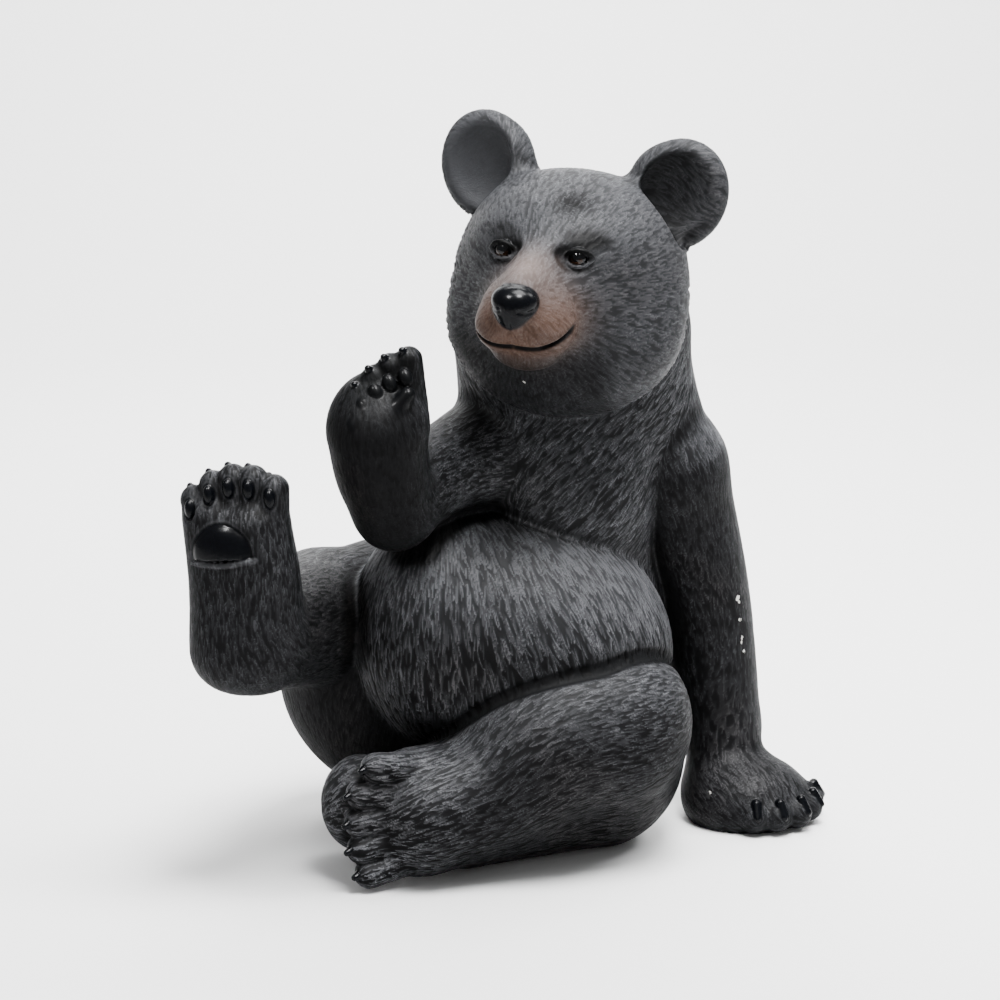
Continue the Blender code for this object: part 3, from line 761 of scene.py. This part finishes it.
# a direction for each point, from columns or single numbers
def directions(*columns):
    return np.stack(np.broadcast_arrays(*columns), axis=1)


flows = {
    "chest": (-0.8, 4, 10, -0.2, -0.75), # how far it fans out, from where and how fast, forward and down
    "back": (0.3, 40, 30, 0.0, -1.0),
    "belly": (0.62, -30, 75, -0.25, -1.0),
    "chestAhead": (-12, 10),
    "fromNose": (0, 92, 2),  # the head's fur runs away from here, and behind it down the neck
    "neckBehind": (5, 45),
    "neck": (0, 0.1, -1.0),
}


def fanned(name, points):
    fan, middle, reach, ahead, down = flows[name]
    return directions(fan * np.tanh((points[:, 0] - middle) / reach), ahead, down)


def trunkFlow(points):
    front = smooth(-points[:, 1], *flows["chestAhead"])[:, None]
    return fanned("chest", points) * front + fanned("back", points) * (1 - front)


def bellyFlow(points):
    return fanned("belly", points)


def headFlow(points):
    out = unit(points - face.world(flows["fromNose"]))
    back = smooth(-face.local(points)[:, 1], *flows["neckBehind"])[:, None]
    return out * (1 - back) + np.array(flows["neck"]) * back


# limbs are combed along themselves, rounded masses each as their comb says
massCombs = {
    "leftHand": (0.5, -0.7, -0.5),
    "rightArm": (-0.3, 0, 1.0),
    "rightThigh": (-0.3, -0.3, -0.9),
    "leftLeg": (-0.9, -0.25, -0.3),
    "leftArm": (0, 0, -1.0),
    "rightFoot": (0, 0, -1.0),
}


def combOf(group, mass, points):
    if isinstance(mass, Egg):
        return unit(np.array([massCombs[group.name]], float))
    share = mass.nearest(points)
    return unit(mass.at(share + 0.05)[:, :3] - mass.at(share - 0.05)[:, :3])


def limbFlow(group, points):
    total = np.zeros((len(points), 3))
    for mass in group.masses:
        if mass.hollow or mass.kind != "fur":
            continue
        weight = np.exp(-np.maximum(mass.distance(points), 0) / 2.5)
        total += weight[:, None] * combOf(group, mass, points)
    return unit(total)


def furFlow(points, shares):
    flow = np.zeros((len(points), 3))
    special = {"trunk": trunkFlow, "belly": bellyFlow, "head": headFlow}
    for row, group in enumerate(groups):
        near = np.flatnonzero(shares[row] > 0.01)
        here = special[group.name](points[near]) if group.name in special else limbFlow(group, points[near])
        flow[near] += shares[row, near][:, None] * here
    return flow


def nearKind(kind, points):
    total = np.full(len(points), farAway / 2)
    for mass in [mass for group in groups for mass in group.masses if mass.kind == kind]:
        near = within(mass, points, 12)
        if len(near):
            fillet = 0.01 if mass.hollow else mass.fillet
            total[near] = join(total[near], mass.distance(points[near]), fillet)
    return total


nearest = parts.min(axis=0)
shares = np.exp(-(parts - nearest) / 0.8)
shares /= shares.sum(axis=0)
flow = furFlow(points, shares)
flow = unit(flow - normals * np.einsum("ij,ij->i", flow, normals)[:, None])
say("flow of the fur")

bareOf = {                   # no locks on these, nor this near them, mm
    "nose": (0.3, 1.4), "nostril": (0.2, 1.0), "eye": (0.3, 1.2), "lid": (0.2, 1.5), "mouth": (0.4, 1.6),
    "claw": (0.2, 1.2), "pad": (0.4, 1.5), "rim": (0.2, 1.0),
}
away = {kind: nearKind(kind, points) for kind in (*bareOf, "earHollow", "socket")}
bare = np.ones(len(points))
for kind, (low, high) in bareOf.items():
    bare *= smooth(away[kind], low, high)
local = face.local(points)
on = {name: nearest == parts[row] for name, row in rowOf.items()}
spots = {                    # of the face, in its own axes: centre and reach, mm
    "muzzle": ((0, 78, -8), (27, 26, 22)),
    "snout": ((0, 76, -9), (27, 27, 20)),
    "bridge": ((0, 72, 15), (10, 20, 11)),
    # painted shadow in a furrow of the forehead
    "furrow": ((10, 36, 50), (9, 14, 6)),
    # painted shadow under each brow
    "browShadow": ((23, 50, 33.0), (12, 14, 5.5)),
}


# full in the middle of a spot, fading to nothing
def spot(name, side=1, power=1.0):
    centre, reach = spots[name]
    return np.exp(-np.sum(((local - onSide(side, centre)) / reach) ** 2, axis=1) ** power)


# near a kind of mass, fading between two distances
def byKind(kind, low, high):
    return 1 - smooth(away[kind], low, high)


# a comb's value at each point
def combed(index):
    return sum(shares[rowOf[name]] * comb[index] for name, comb in combs.items())


inEar = byKind("earHollow", 0.4, 2.0)
ruffReach, bellyReach = edges["ruff"][0], edges["bellyEdge"][0]
ruffNear = (1 - smooth(parts[rowOf["trunk"]], 0.5 * ruffReach, ruffReach)) * on["head"]
ruffNear *= smooth(-local[:, 2], *ruffBelow)
others = np.delete(parts, rowOf["belly"], axis=0).min(axis=0)
bellyNear = np.exp(-(np.maximum(others, 0) / bellyReach) ** 2) * on["belly"]
wider, longer, deeper = (edges["ruff"][index] * ruffNear + edges["bellyEdge"][index] * bellyNear
                         for index in (1, 2, 3))
muzzleNear = np.clip(spot("muzzle") * 1.3, 0, 1)
furDepth = combed(2) + deeper
furDepth *= bare * (1 - 0.7 * inEar) * (1 - 0.55 * muzzleNear) * smooth(points[:, 2], 0.4, 2.5)

areas = readFrom(mesh.polygons, "area")
sizes = readFrom(mesh.polygons, "loop_total", kind=np.int32)
corners = readFrom(mesh.loops, "vertex_index", kind=np.int32)
pointArea = np.bincount(corners, weights=np.repeat(areas / sizes, sizes), minlength=len(points)) / mm ** 2

rng = np.random.default_rng(fur["seed"])
scale = 1 + (fur["coarser"] - 1) * smooth(pointArea, *fur["coarseAreas"])
scale *= 1 - 0.3 * muzzleNear
width = combed(0) * (scale * (1 + wider))
length = combed(1) * (scale * (1 + longer))
expected = pointArea * fur["cover"] * (1 - 0.15 * ruffNear) / (width * length * fur["filled"])
roots = np.flatnonzero((rng.random(len(points)) < expected) & (furDepth > 0.03))
say(f"{len(roots)} locks")


def lockFrames(roots):
    stray = np.radians(fur["stray"]) * rng.standard_normal(len(roots))
    along, up = flow[roots], normals[roots]
    across = np.cross(up, along)
    along = along * np.cos(stray)[:, None] + across * np.sin(stray)[:, None]
    return along, np.cross(up, along), up


lock = {
    "widths": (0.8, 1.25),   # least and most, as shares of the comb's
    "lengths": (0.75, 1.2),
    "heights": (0.78, 1.0),
    "bend": 0.012,
    "blunt": 3.2,            # how soon it is at full width, and how soon it narrows again
    "taper": 1.7,
    "crown": 1.15,           # the curve of its section
    "rootHeight": 0.6,
    "rise": 0.2,             # share of its length over which it rises, and then falls
    "fall": 0.1,
    "cell": 8.0,             # mm, to look for points in; more than half the longest lock
    "lift": 3.5,             # no point further off its plane is touched, nor one turned further away
    "facing": 0.35,
}


# the cells of a grid as single numbers
def cellKeys(cells):
    return (cells[:, 0] * 1000 + cells[:, 1]) * 1000 + cells[:, 2]


# press every lock into the skin; where locks overlap, the highest one shows
def pressLocks(roots):
    along, across, up = lockFrames(roots)
    lockWidth = width[roots] * rng.uniform(*lock["widths"], len(roots))
    lockLength = length[roots] * rng.uniform(*lock["lengths"], len(roots))
    lockHeight = rng.uniform(*lock["heights"], len(roots))
    bend = rng.normal(0, lock["bend"], len(roots))
    tone = rng.random(len(roots))
    height, strand, tint = np.zeros(len(points)), np.zeros(len(points)), np.full(len(points), 0.5)
    cells = np.floor(points / lock["cell"]).astype(np.int64) + 200
    order = np.argsort(cellKeys(cells), kind="stable")
    ordered = cellKeys(cells)[order]
    for neighbour in product((-1, 0, 1), repeat=3):
        key = cellKeys(cells[roots] + neighbour)
        first = np.searchsorted(ordered, key, "left")
        counts = np.searchsorted(ordered, key, "right") - first
        busy = np.flatnonzero(counts)
        for block in np.array_split(busy, max(1, int(counts.sum() / 3e6))):
            many = counts[block]
            if not many.sum():
                continue
            which = np.repeat(block, many)
            inner = np.arange(many.sum()) - np.repeat(np.cumsum(many) - many, many)
            vertex = order[np.repeat(first[block], many) + inner]
            offset = points[vertex] - points[roots[which]]
            s = np.einsum("ij,ij->i", offset, along[which]) / lockLength[which]
            keep = np.abs(s) < 0.5
            which, vertex, offset, s = which[keep], vertex[keep], offset[keep], s[keep]
            u = np.einsum("ij,ij->i", offset, across[which]) - bend[which] * (s * lockLength[which]) ** 2
            share = s + 0.5
            ends = np.minimum(np.sqrt(share * lock["blunt"]), 1)
            tips = np.minimum(np.sqrt((1 - share) * lock["taper"]), 1)
            u = u / np.maximum(0.5 * lockWidth[which] * ends * tips, 0.05)
            lift = np.einsum("ij,ij->i", offset, up[which])
            same = np.einsum("ij,ij->i", normals[vertex], up[which])
            keep = (np.abs(u) < 1) & (np.abs(lift) < lock["lift"]) & (same > lock["facing"])
            which, vertex, u, share = which[keep], vertex[keep], u[keep], share[keep]
            here = 1 - np.abs(u) ** lock["crown"]
            here = lockHeight[which] * here * (lock["rootHeight"] + (1 - lock["rootHeight"]) * share)
            here *= np.minimum(1, share / lock["rise"]) * np.minimum(1, (1 - share) / lock["fall"])
            np.maximum.at(height, vertex, here)
            top = here >= height[vertex]
            strand[vertex[top]] = u[top]
            tint[vertex[top]] = tone[which[top]]
    return height, strand, tint


height, strand, tint = pressLocks(roots)
say("locks pressed in")

narrow, wide, sunk = gapUnderBelly
gap = 1 - smooth(np.maximum(parts[rowOf["belly"]], parts[rowOf["leftLeg"]]), narrow, wide)
# how open each point lies; the paint uses it as painted shade, with less grey in creases, in hollows and in
# the gap under the belly
openness = np.clip(bodyDistance(points + normals * 12) / 12, 0, 1) * (1 - gap)
raised = points + normals * (furDepth * (height - 0.5) - sunk * gap)[:, None]
raised[:, 2] = np.maximum(raised[:, 2], 0)
mesh.vertices.foreach_set("co", ((raised - shift) * mm).astype(np.float32).ravel())
mesh.update()
furNormals = normalsOf(mesh)


# masks for the paint

tones = {                    # grey brushed on ridges, side and top; a grey lift all over, side and top; painted shade. Tops come out lighter as painted light, undersides darker as painted shade
    "trunk": (1.1, 1.5, 0.09, 0.2, 0.0),
    "leftArm": (0.45, 1.8, 0.03, 0.5, 0.6),
    "rightThigh": (0.3, 0.7, 0.0, 0.04, 0.9),
    "head": (0.6, 0.7, 0.22, 0.32, 0.0),
    "belly": (0.55, 2.9, 0.01, 0.6, 0.0),
    "rightArm": (0.12, 0.15, 0.0, 0.01, 0.9),
    "rightFoot": (0.5, 0.7, 0.06, 0.06, 0.5),
    "leftLeg": (0.75, 1.4, 0.01, 0.24, 0.5),
    "leftHand": (0.4, 0.5, 0.03, 0.06, 0.3),
}


bands = {                    # nothing before the first and all from the second, mm
    "chin": (19, 27), "beard": (12, 34), "beardSide": (30, 48),
    "tuftsSide": (25, 40), "tuftsAhead": (-25, -10),
    "foot": (15, 45), "shoulder": (-55, -20), "lash": (-2, 3),
    "earOuter": (60, 66), "earInner": (52, 66),
    "upward": (-0.05, 0.75), # of a normal's rise
    "pupil": (20, 27), "iris": (42, 52), "lowerHalf": (-0.5, 1.5),        # degrees, degrees, mm
}
amounts = {                  # how much of each, where it is full
    "chinGrey": 0.4,
    "beardShade": 0.9, "furrowShade": 0.75,
    "ruffBrushed": 0.5, "footHighlight": 1.6, "shoulderBrushed": 0.8,
    "shoulderLight": 0.08, "padEdgeLight": 0.35, "rimLighter": 0.6, "lidLighter": 0.6,
    "furrowBare": 0.9, "ruffBare": 0.4, "tuftsBare": 0.7, "shoulderUnshaded": 0.9,
    "pawMatt": 0.6,
    "leftRecess": 1.0, "rightRecess": 0.6, "hollows": 0.95,
}
gaze = (-0.1, 0.995, 0.0)
eyeReach = 8                 # mm


# each eye looks along its own line: a black pupil in a brown ring
def eyeRings():
    ring = np.zeros(len(local))
    for side in (1, -1):
        centre = onSide(side, eye["place"])
        turn = np.degrees(np.arccos(np.clip((local - centre) @ gaze / eye["ball"][1][0], -1, 1)))
        here = smooth(turn, *bands["pupil"]) * (1 - smooth(turn, *bands["iris"]))
        here *= smooth(centre[2] - local[:, 2], *bands["lowerHalf"])
        ring = np.where(np.abs(local[:, 0] - centre[0]) < eyeReach, here, ring)
    return ring


# the balls of the eyes are polished: their normals are those of true balls
for side in (1, -1):
    centre = face.world(onSide(side, eye["place"]))
    polished = (away["eye"] < 0.5) & (np.linalg.norm(points - centre, axis=1) < eyeReach)
    furNormals[polished] = unit(points[polished] - centre)


# how far into a band each point is, on a measure of its own
def band(name, values):
    return smooth(values, *bands[name])


side, ahead, rise = local.T
# how far each point faces up: painted light on the tops, painted shade beneath
upward = band("upward", normals[:, 2])
gloss = 1 - np.minimum.reduce([smooth(away[kind], 0.1, 0.9) for kind in ("nose", "claw", "pad")])
eyeMask = byKind("eye", 0.1, 0.6)
snout = spot("snout", power=1.3) * (1 - amounts["chinGrey"] * band("chin", -rise))
beard = band("beard", -rise) * on["head"] * (1 - band("beardSide", side))
tufts = ruffNear * band("tuftsSide", side) * band("tuftsAhead", ahead)
furrow = spot("furrow")
# a painted highlight on the toes of the left foot
leftFootHighlight = band("foot", -points[:, 0]) * on["leftLeg"]
# the right shoulder is painted lighter and kept out of the painted shade
shoulder = band("shoulder", points[:, 0]) * on["rightArm"]
# a painted highlight round the pads of the sole
litPadEdge = np.exp(-((away["pad"] - 1.3) / 0.5) ** 2) * on["rightFoot"]
brushedAndLit, paintedLight = np.zeros(len(points)), np.zeros(len(points))
# painted shade under the chin
paintedShade = amounts["beardShade"] * beard
# each part's grey, lighter on the tops as painted light, and its painted shade on what faces down
for name, (flank, top, lightFlank, lightTop, dark) in tones.items():
    share = shares[rowOf[name]]
    brushedAndLit += share * (flank + (top - flank) * upward)
    paintedLight += share * (lightFlank + (lightTop - lightFlank) * upward)
    paintedShade = np.maximum(paintedShade, share * dark * (1 - upward))
# painted shade also in the forehead's furrow, and none on the right shoulder
paintedShade = np.maximum(paintedShade, amounts["furrowShade"] * furrow) * (1 - amounts["shoulderUnshaded"] * shoulder)
# more ridge grey on the ruff and its tufts
brushedAndLit += amounts["ruffBrushed"] * ruffNear + tufts
# a painted highlight on the left foot's toes, and a lighter right shoulder
brushedAndLit += amounts["footHighlight"] * leftFootHighlight + amounts["shoulderBrushed"] * shoulder
# the grey lift, which is painted light, is kept off the furrow, the ruff and its tufts
for name, where in (("furrowBare", furrow), ("ruffBare", ruffNear), ("tuftsBare", tufts)):
    paintedLight *= 1 - amounts[name] * where
# more lift on the right shoulder, a painted highlight round the sole's pads, and lighter along the rim
# under its big pad
paintedLight += amounts["shoulderLight"] * shoulder + amounts["padEdgeLight"] * litPadEdge
paintedLight += amounts["rimLighter"] * byKind("rim", 0.2, 1.0)
gloss *= 1 - amounts["pawMatt"] * byKind("pad", 0.1, 0.9) * on["rightArm"]
lash = band("lash", rise - eye["place"][2])      # the upper half of each eye
# painted shadow in the eye sockets, heavier above each eye, and under the brows
hollows = byKind("socket", 0.3, 5.0) * (0.15 + 0.85 * lash)
for name, way in (("leftRecess", 1), ("rightRecess", -1)):
    hollows = np.maximum(hollows, amounts[name] * np.minimum(1.3 * spot("browShadow", way, 1.5), 1))
lids = byKind("lid", 0.1, 1.0) * (1 - eyeMask)
lowerLids = lids * (1 - lash)
# lighter lower lids, which are also left out of the painted shade
paintedLight += amounts["lidLighter"] * lowerLids
openness = np.maximum(openness, lowerLids)
masks = {
    "height": height, "strand": strand, "tint": tint, "open": openness,
    "gloss": np.maximum(gloss, eyeMask),
    "iris": eyeRings() * eyeMask,
    "snout": snout * (1 - gloss),
    "bridge": spot("bridge") * (1 - gloss),
    # black upper lids, mouth and nostrils, with the painted shadow of sockets and brows
    "dark": np.maximum.reduce([lids * lash, byKind("mouth", 0.1, 1.1), byKind("nostril", 0.0, 0.8),
                               amounts["hollows"] * hollows]),
    "earSkin": (side < 0) * np.maximum(inEar, byKind("earHollow", 2.5, 5) * band("earOuter", -side)),
    "earShade": inEar * (side > 0) * (1 - band("earInner", side)),
    "brushedAndLit": brushedAndLit, "paintedLight": paintedLight, "paintedShade": paintedShade, "eye": eyeMask, "bare": bare,
}
say("masks")


# shader expressions

class Shade:
    tree = None

    def __init__(self, socket):
        self.socket = socket

    @classmethod
    def node(cls, kind, settings=None, output=0, **links):
        node = cls.tree.nodes.new(kind)
        for name, value in (settings or {}).items():
            setattr(node, name, value)
        for name, value in links.items():
            place = int(name[1:]) if name[0] == "_" and name[1:].isdigit() else name.replace("_", " ")
            cls.feed(node.inputs[place], value)
        return cls(node.outputs[output])

    @classmethod
    def feed(cls, socket, value):
        if isinstance(value, Shade):
            cls.tree.links.new(value.socket, socket)
        elif isinstance(value, (tuple, list)) and socket.type == "RGBA":
            socket.default_value = (*value, 1)
        else:
            socket.default_value = value

    def math(self, operation, *values):
        links = {f"_{index}": value for index, value in enumerate(values)}
        return Shade.node("ShaderNodeMath", {"operation": operation}, **links)

    def __add__(self, other):
        return self.math("ADD", self, other)

    def __sub__(self, other):
        return self.math("SUBTRACT", self, other)

    def __rsub__(self, other):
        return self.math("SUBTRACT", other, self)

    def __mul__(self, other):
        return self.math("MULTIPLY", self, other)

    __radd__ = __add__
    __rmul__ = __mul__

    def clamp(self):
        return self.node("ShaderNodeClamp", Value=self)


def mask(name):
    return Shade.node("ShaderNodeAttribute", {"attribute_name": name}, 2)


def blend(share, first, second):
    links = {"Factor": share, "_6": first, "_7": second}
    return Shade.node("ShaderNodeMix", {"data_type": "RGBA"}, 2, **links)


def noise(place, size, detail=2.0, rough=0.5):
    return Shade.node("ShaderNodeTexNoise", Vector=place, Scale=1 / size, Detail=detail, Roughness=rough)


def step(value, low, high):
    links = {"Value": value, "From_Min": low, "From_Max": high}
    return Shade.node("ShaderNodeMapRange", {"interpolation_type": "SMOOTHSTEP"}, **links)


paint = {
    "deep": (0.0008, 0.0009, 0.001),
    "coat": (0.0040, 0.0043, 0.0048),
    # grey of the dry-brush, also used for painted highlights and painted light
    "brushedAndLit": (0.098, 0.100, 0.108),
    "warm": (0.03, 0.022, 0.018),
    "snout": (0.108, 0.056, 0.034),
    "snoutDark": (0.028, 0.016, 0.011),
    "bridge": (0.155, 0.115, 0.10),
    "earSkin": (0.044, 0.045, 0.049),
    "black": (0.0016, 0.0019, 0.0026),
    "iris": (0.022, 0.0085, 0.003),
    "chip": (0.5, 0.49, 0.46),
}
finish = {
    "rough": 0.48,           # less on the ridges, more where it is deep or under the painted shade
    "roughRidge": 0.14,
    "roughDeep": 0.15,
    "wetRough": 0.2,
    "eyeSmooth": 0.12,
    "sheen": 0.04,           # specular level of the coat, and of the gloss paint
    "wetSheen": 0.07,
    "varnish": 0.3,          # on the eyes
    "varnishRough": 0.06,
    "hairLines": 8.0,        # fineness of the lines inside a lock
    "hairDepth": 0.0004,     # metres
    "hairStrength": 0.35,
    "grain": 0.0016,         # metres, on nose, claws and pads
    "grainStrength": 0.15,
    "ragged": 0.0045,        # metres, at the rims of the chips
}
chips = [                    # bare casting showing, mostly down the left arm: place and radius, mm
    ((135.3, 16.8, 133.0), 1.7),
    ((136.2, 17.2, 130.5), 1.0),
    ((136.8, 17.8, 119.7), 0.8),
    ((138.3, 18.7, 109.0), 0.9),
    ((138.0, 18.6, 106.4), 0.7),
    ((139.7, 19.9, 100.7), 0.8),
    ((119.8, -1.8, 23.0), 0.6),
    ((12.1, -79.5, 275.0), 0.5),
]


# ragged spots where the paint has come off
def chipSpots(place, ragged):
    bared = None
    for centre, radius in chips:
        at = tuple((np.array(centre) - shift) * mm)
        away = Shade.node("ShaderNodeVectorMath", {"operation": "DISTANCE"}, 1, _0=place, _1=at)
        chip = step(away + (ragged - 0.5) * finish["ragged"], radius * 1.1 * mm, radius * 0.85 * mm)
        bared = chip if bared is None else bared.math("MAXIMUM", bared, chip)
    return bared


def bearPaint():
    material = bpy.data.materials.new("bearPaint")
    material.use_nodes = True
    tree = material.node_tree
    Shade.tree = tree
    coat = tree.nodes["Principled BSDF"]
    place = Shade.node("ShaderNodeTexCoord", None, 3)
    high, strand, tint = mask("height"), mask("strand"), mask("tint")
    opened, gloss, snout, paintedShade = mask("open"), mask("gloss"), mask("snout"), mask("paintedShade")
    broad, fine = noise(place, 0.03), noise(place, 0.0012, 3, 0.6)
    lines = strand.math("COSINE", strand * finish["hairLines"] + tint * 6.3)
    hairs = step(lines, -0.3, 0.9)
    keen = step(strand.math("ABSOLUTE", strand), 0.95, 0.4)
    ridge = step(high + (tint - 0.5) * 0.12 + (fine - 0.5) * 0.16, 0.4, 0.9)
    ridge = ridge * (0.2 + 0.8 * keen) * (0.3 + 0.7 * hairs)
    # the painted shade takes most of the grey away
    unshaded = 1 - paintedShade * 0.85
    worn = 0.65 + 0.35 * step(broad, 0.3, 0.65)
    # dry-brushed grey on the ridges, partly a painted highlight; it fades in creases as painted shade
    brushedRidgeLight = ridge * worn * step(opened, 0.25, 0.95) * mask("brushedAndLit") * unshaded
    # darker down in the grooves, and darker under the painted shade
    colour = blend(step(high, 0.1, 0.6) * (1 - paintedShade * 0.75), paint["deep"], paint["coat"])
    # a grey lift that is painted light, kept out of creases as painted shade
    litLift = mask("paintedLight") * unshaded * (0.55 + 0.45 * step(high, 0.1, 0.9)) * step(opened, 0.15, 0.9)
    colour = blend(litLift, colour, paint["brushedAndLit"])
    colour = blend(brushedRidgeLight.clamp(), colour, paint["brushedAndLit"])
    warmth = step(noise(place, 0.06, 1), 0.5, 0.7) * 0.3 * ridge
    colour = blend(warmth, colour, paint["warm"])
    colour = blend(mask("earSkin") * (0.6 + 0.5 * fine), colour, paint["earSkin"])
    colour = blend(mask("earShade") * 0.5, colour, paint["deep"])
    brown = blend(step(high + fine * 0.6, -0.7, 1.1) * (1 - paintedShade * 0.7), paint["snoutDark"], paint["snout"])
    colour = blend((snout * (0.7 + 0.5 * fine)).clamp(), colour, brown)
    colour = blend((mask("bridge") * 0.8).clamp(), colour, paint["bridge"])
    # black upper lids, mouth and nostrils; painted shadow in the sockets and under the brows
    colour = blend((mask("dark") * 0.98).clamp(), colour, paint["deep"])
    colour = blend(chipSpots(place, fine), colour, paint["chip"])
    Shade.feed(coat.inputs["Base Color"], colour)
    deep = (1 - opened) + (fine - 0.5) + paintedShade
    rough = finish["rough"] - finish["roughRidge"] * ridge + finish["roughDeep"] * deep
    Shade.feed(coat.inputs["Roughness"], rough)
    Shade.feed(coat.inputs["Specular IOR Level"], finish["sheen"])
    relief = (lines * 0.15 * (1 - gloss) + fine * 0.4) * mask("bare")
    bump = {"Strength": finish["hairStrength"], "Distance": finish["hairDepth"], "Height": relief}
    Shade.feed(coat.inputs["Normal"], Shade.node("ShaderNodeBump", **bump))
    black = blend(mask("iris"), paint["black"], paint["iris"])
    shine = finish["wetRough"] + 0.06 * fine - finish["eyeSmooth"] * mask("eye")
    wet = Shade.node("ShaderNodeBsdfPrincipled", Base_Color=black, Roughness=shine)
    inputs = wet.socket.node.inputs
    Shade.feed(inputs["Specular IOR Level"], finish["wetSheen"])
    Shade.feed(inputs["Coat Roughness"], finish["varnishRough"])
    Shade.feed(inputs["Coat Weight"], mask("eye") * finish["varnish"])
    pitted = noise(place, finish["grain"]) * (1 - mask("eye"))
    bump = {"Strength": finish["grainStrength"], "Distance": finish["hairDepth"], "Height": pitted}
    Shade.feed(inputs["Normal"], Shade.node("ShaderNodeBump", **bump))
    mixed = Shade.node("ShaderNodeMixShader", _0=gloss, _1=Shade(coat.outputs[0]), _2=wet)
    Shade.feed(tree.nodes["Material Output"].inputs["Surface"], mixed)
    return material


# pieces: the skin in parts of under 200,000 triangles

pieceGroups = {
    "bearRightLeg": ("rightFoot", "rightThigh"),
    "bearLeftLeg": ("leftLeg",),
    "bearArms": ("leftArm", "leftHand", "rightArm"),
    "bearBelly": ("belly",),
    "bearTrunk": ("trunk",),
}
faceAhead = 12               # the face is what lies ahead of this in the head, mm


def takePiece(name, chosenFaces, material):
    used, inverse = np.unique(corners[np.repeat(chosenFaces, sizes)], return_inverse=True)
    piece = meshFrom(name, (raised[used] - shift) * mm, inverse, sizes[chosenFaces])
    for label, values in masks.items():
        layer = piece.attributes.new(label, "FLOAT", "POINT")
        layer.data.foreach_set("value", np.asarray(values[used], np.float32))
    piece.shade_smooth()
    piece.normals_split_custom_set_from_vertices(furNormals[used].astype(np.float32))
    piece.materials.append(material)
    piece.calc_loop_triangles()
    print("bear:", name, len(piece.loop_triangles), "triangles")
    made = addObject(name, piece)
    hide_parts("bear")
    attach(made, "root")


def splitSkin(material):
    firstCorner = corners[faceStarts(sizes)]
    region = np.argmin(parts, axis=0)[firstCorner]
    isHead = region == rowOf["head"]
    isFace = isHead & (face.local(points[firstCorner])[:, 1] > faceAhead)
    takePiece("bearFace", isFace, material)
    takePiece("bearHead", isHead & ~isFace, material)
    for name, members in pieceGroups.items():
        takePiece(name, np.isin(region, [rowOf[member] for member in members]), material)


splitSkin(bearPaint())
bpy.data.meshes.remove(mesh)
say("pieces made")


# studio

studio = {
    "floor": (0.86, 0.86, 0.86),
    "backdropAt": 1.7,       # metres behind the bear
    "bend": 0.6,             # radius of the paper's turn up behind it
    "paperAhead": 0.85,      # metres of paper in front of it
    "paperHigh": 3.0,
    "paperHalf": 4.0,        # half its width
    "top": ((0.22, -0.25, 1.5), (0, 0, 0.15), 0.7, 80.0),
    "side": ((0.9, 0.1, 1.15), (0.05, 0, 0.25), 0.4, 12.0),
    "rim": ((-0.5, 1.1, 0.9), (0, 0, 0.25), 0.8, 2.0),
    "wall": ((0, 1.0, 1.9), (0, 2.3, 0.6), 1.2, 130.0),
    "glintRight": ((0.3, -0.9, 1.6), (0.03, -0.05, 0.3), 0.3, 100.0),     # these two only give highlights
    "glintLeft": ((-0.7, -0.9, 1.45), (0, 0, 0.3), 0.2, 45.0),
    "world": 0.4,
}


def buildStudio():
    flat = bpy.data.materials.new("studioPaper")
    flat.use_nodes = True
    shader = flat.node_tree.nodes["Principled BSDF"]
    shader.inputs["Base Color"].default_value = (*studio["floor"], 1)
    shader.inputs["Roughness"].default_value = 0.8
    behind, bend = studio["backdropAt"], studio["bend"]
    profile = [(-studio["paperAhead"], 0.0)]
    for angle in range(0, 91, 6):
        profile.append((behind + bend * sin(radians(angle)), bend - bend * cos(radians(angle))))
    profile.append((behind + bend, studio["paperHigh"]))
    verts = [(x, y, z) for y, z in profile for x in (-studio["paperHalf"], studio["paperHalf"])]
    faces = [(2 * k, 2 * k + 1, 2 * k + 3, 2 * k + 2) for k in range(len(profile) - 1)]
    paper = bpy.data.meshes.new("studioPaper")
    paper.from_pydata(verts, [], faces)
    paper.shade_smooth()
    paper.materials.append(flat)
    addObject("studioPaper", paper)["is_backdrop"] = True
    world = bpy.data.worlds.new("studio")
    bpy.context.scene.world = world
    world.use_nodes = True
    sky = world.node_tree.nodes["Background"].inputs
    sky["Color"].default_value, sky["Strength"].default_value = (1, 1, 1, 1), studio["world"]
    for name in ("top", "side", "rim", "wall", "glintRight", "glintLeft"):
        at, to, size, power = studio[name]
        light = bpy.data.lights.new(name, "AREA")
        light.size, light.energy = size, power
        lamp = addObject(name, light)
        lamp.location = at
        lamp.visible_diffuse = not name.startswith("glint")
        lamp.rotation_euler = (Vector(to) - Vector(at)).to_track_quat("-Z", "Y").to_euler()
        lamp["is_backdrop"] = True


view = {
    "distance": 1.5,
    "height": 12.5,          # degrees above the horizon
    "target": (0.0, 0.0, 0.194),
    "lens": 96.44,
    "slide": -0.001,
}


def buildCamera():
    data = bpy.data.cameras.new("camera")
    data.lens, data.shift_x = view["lens"], view["slide"]
    camera = addObject("camera", data)
    angle = radians(view["height"])
    target = Vector(view["target"]) - Vector(shift * mm)
    away = Vector((0, -cos(angle), sin(angle)))
    camera.location = target + away * view["distance"]
    camera.rotation_euler = (-away).to_track_quat("-Z", "Y").to_euler()
    bpy.context.scene.camera = camera


buildStudio()
buildCamera()
say("studio")

low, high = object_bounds()
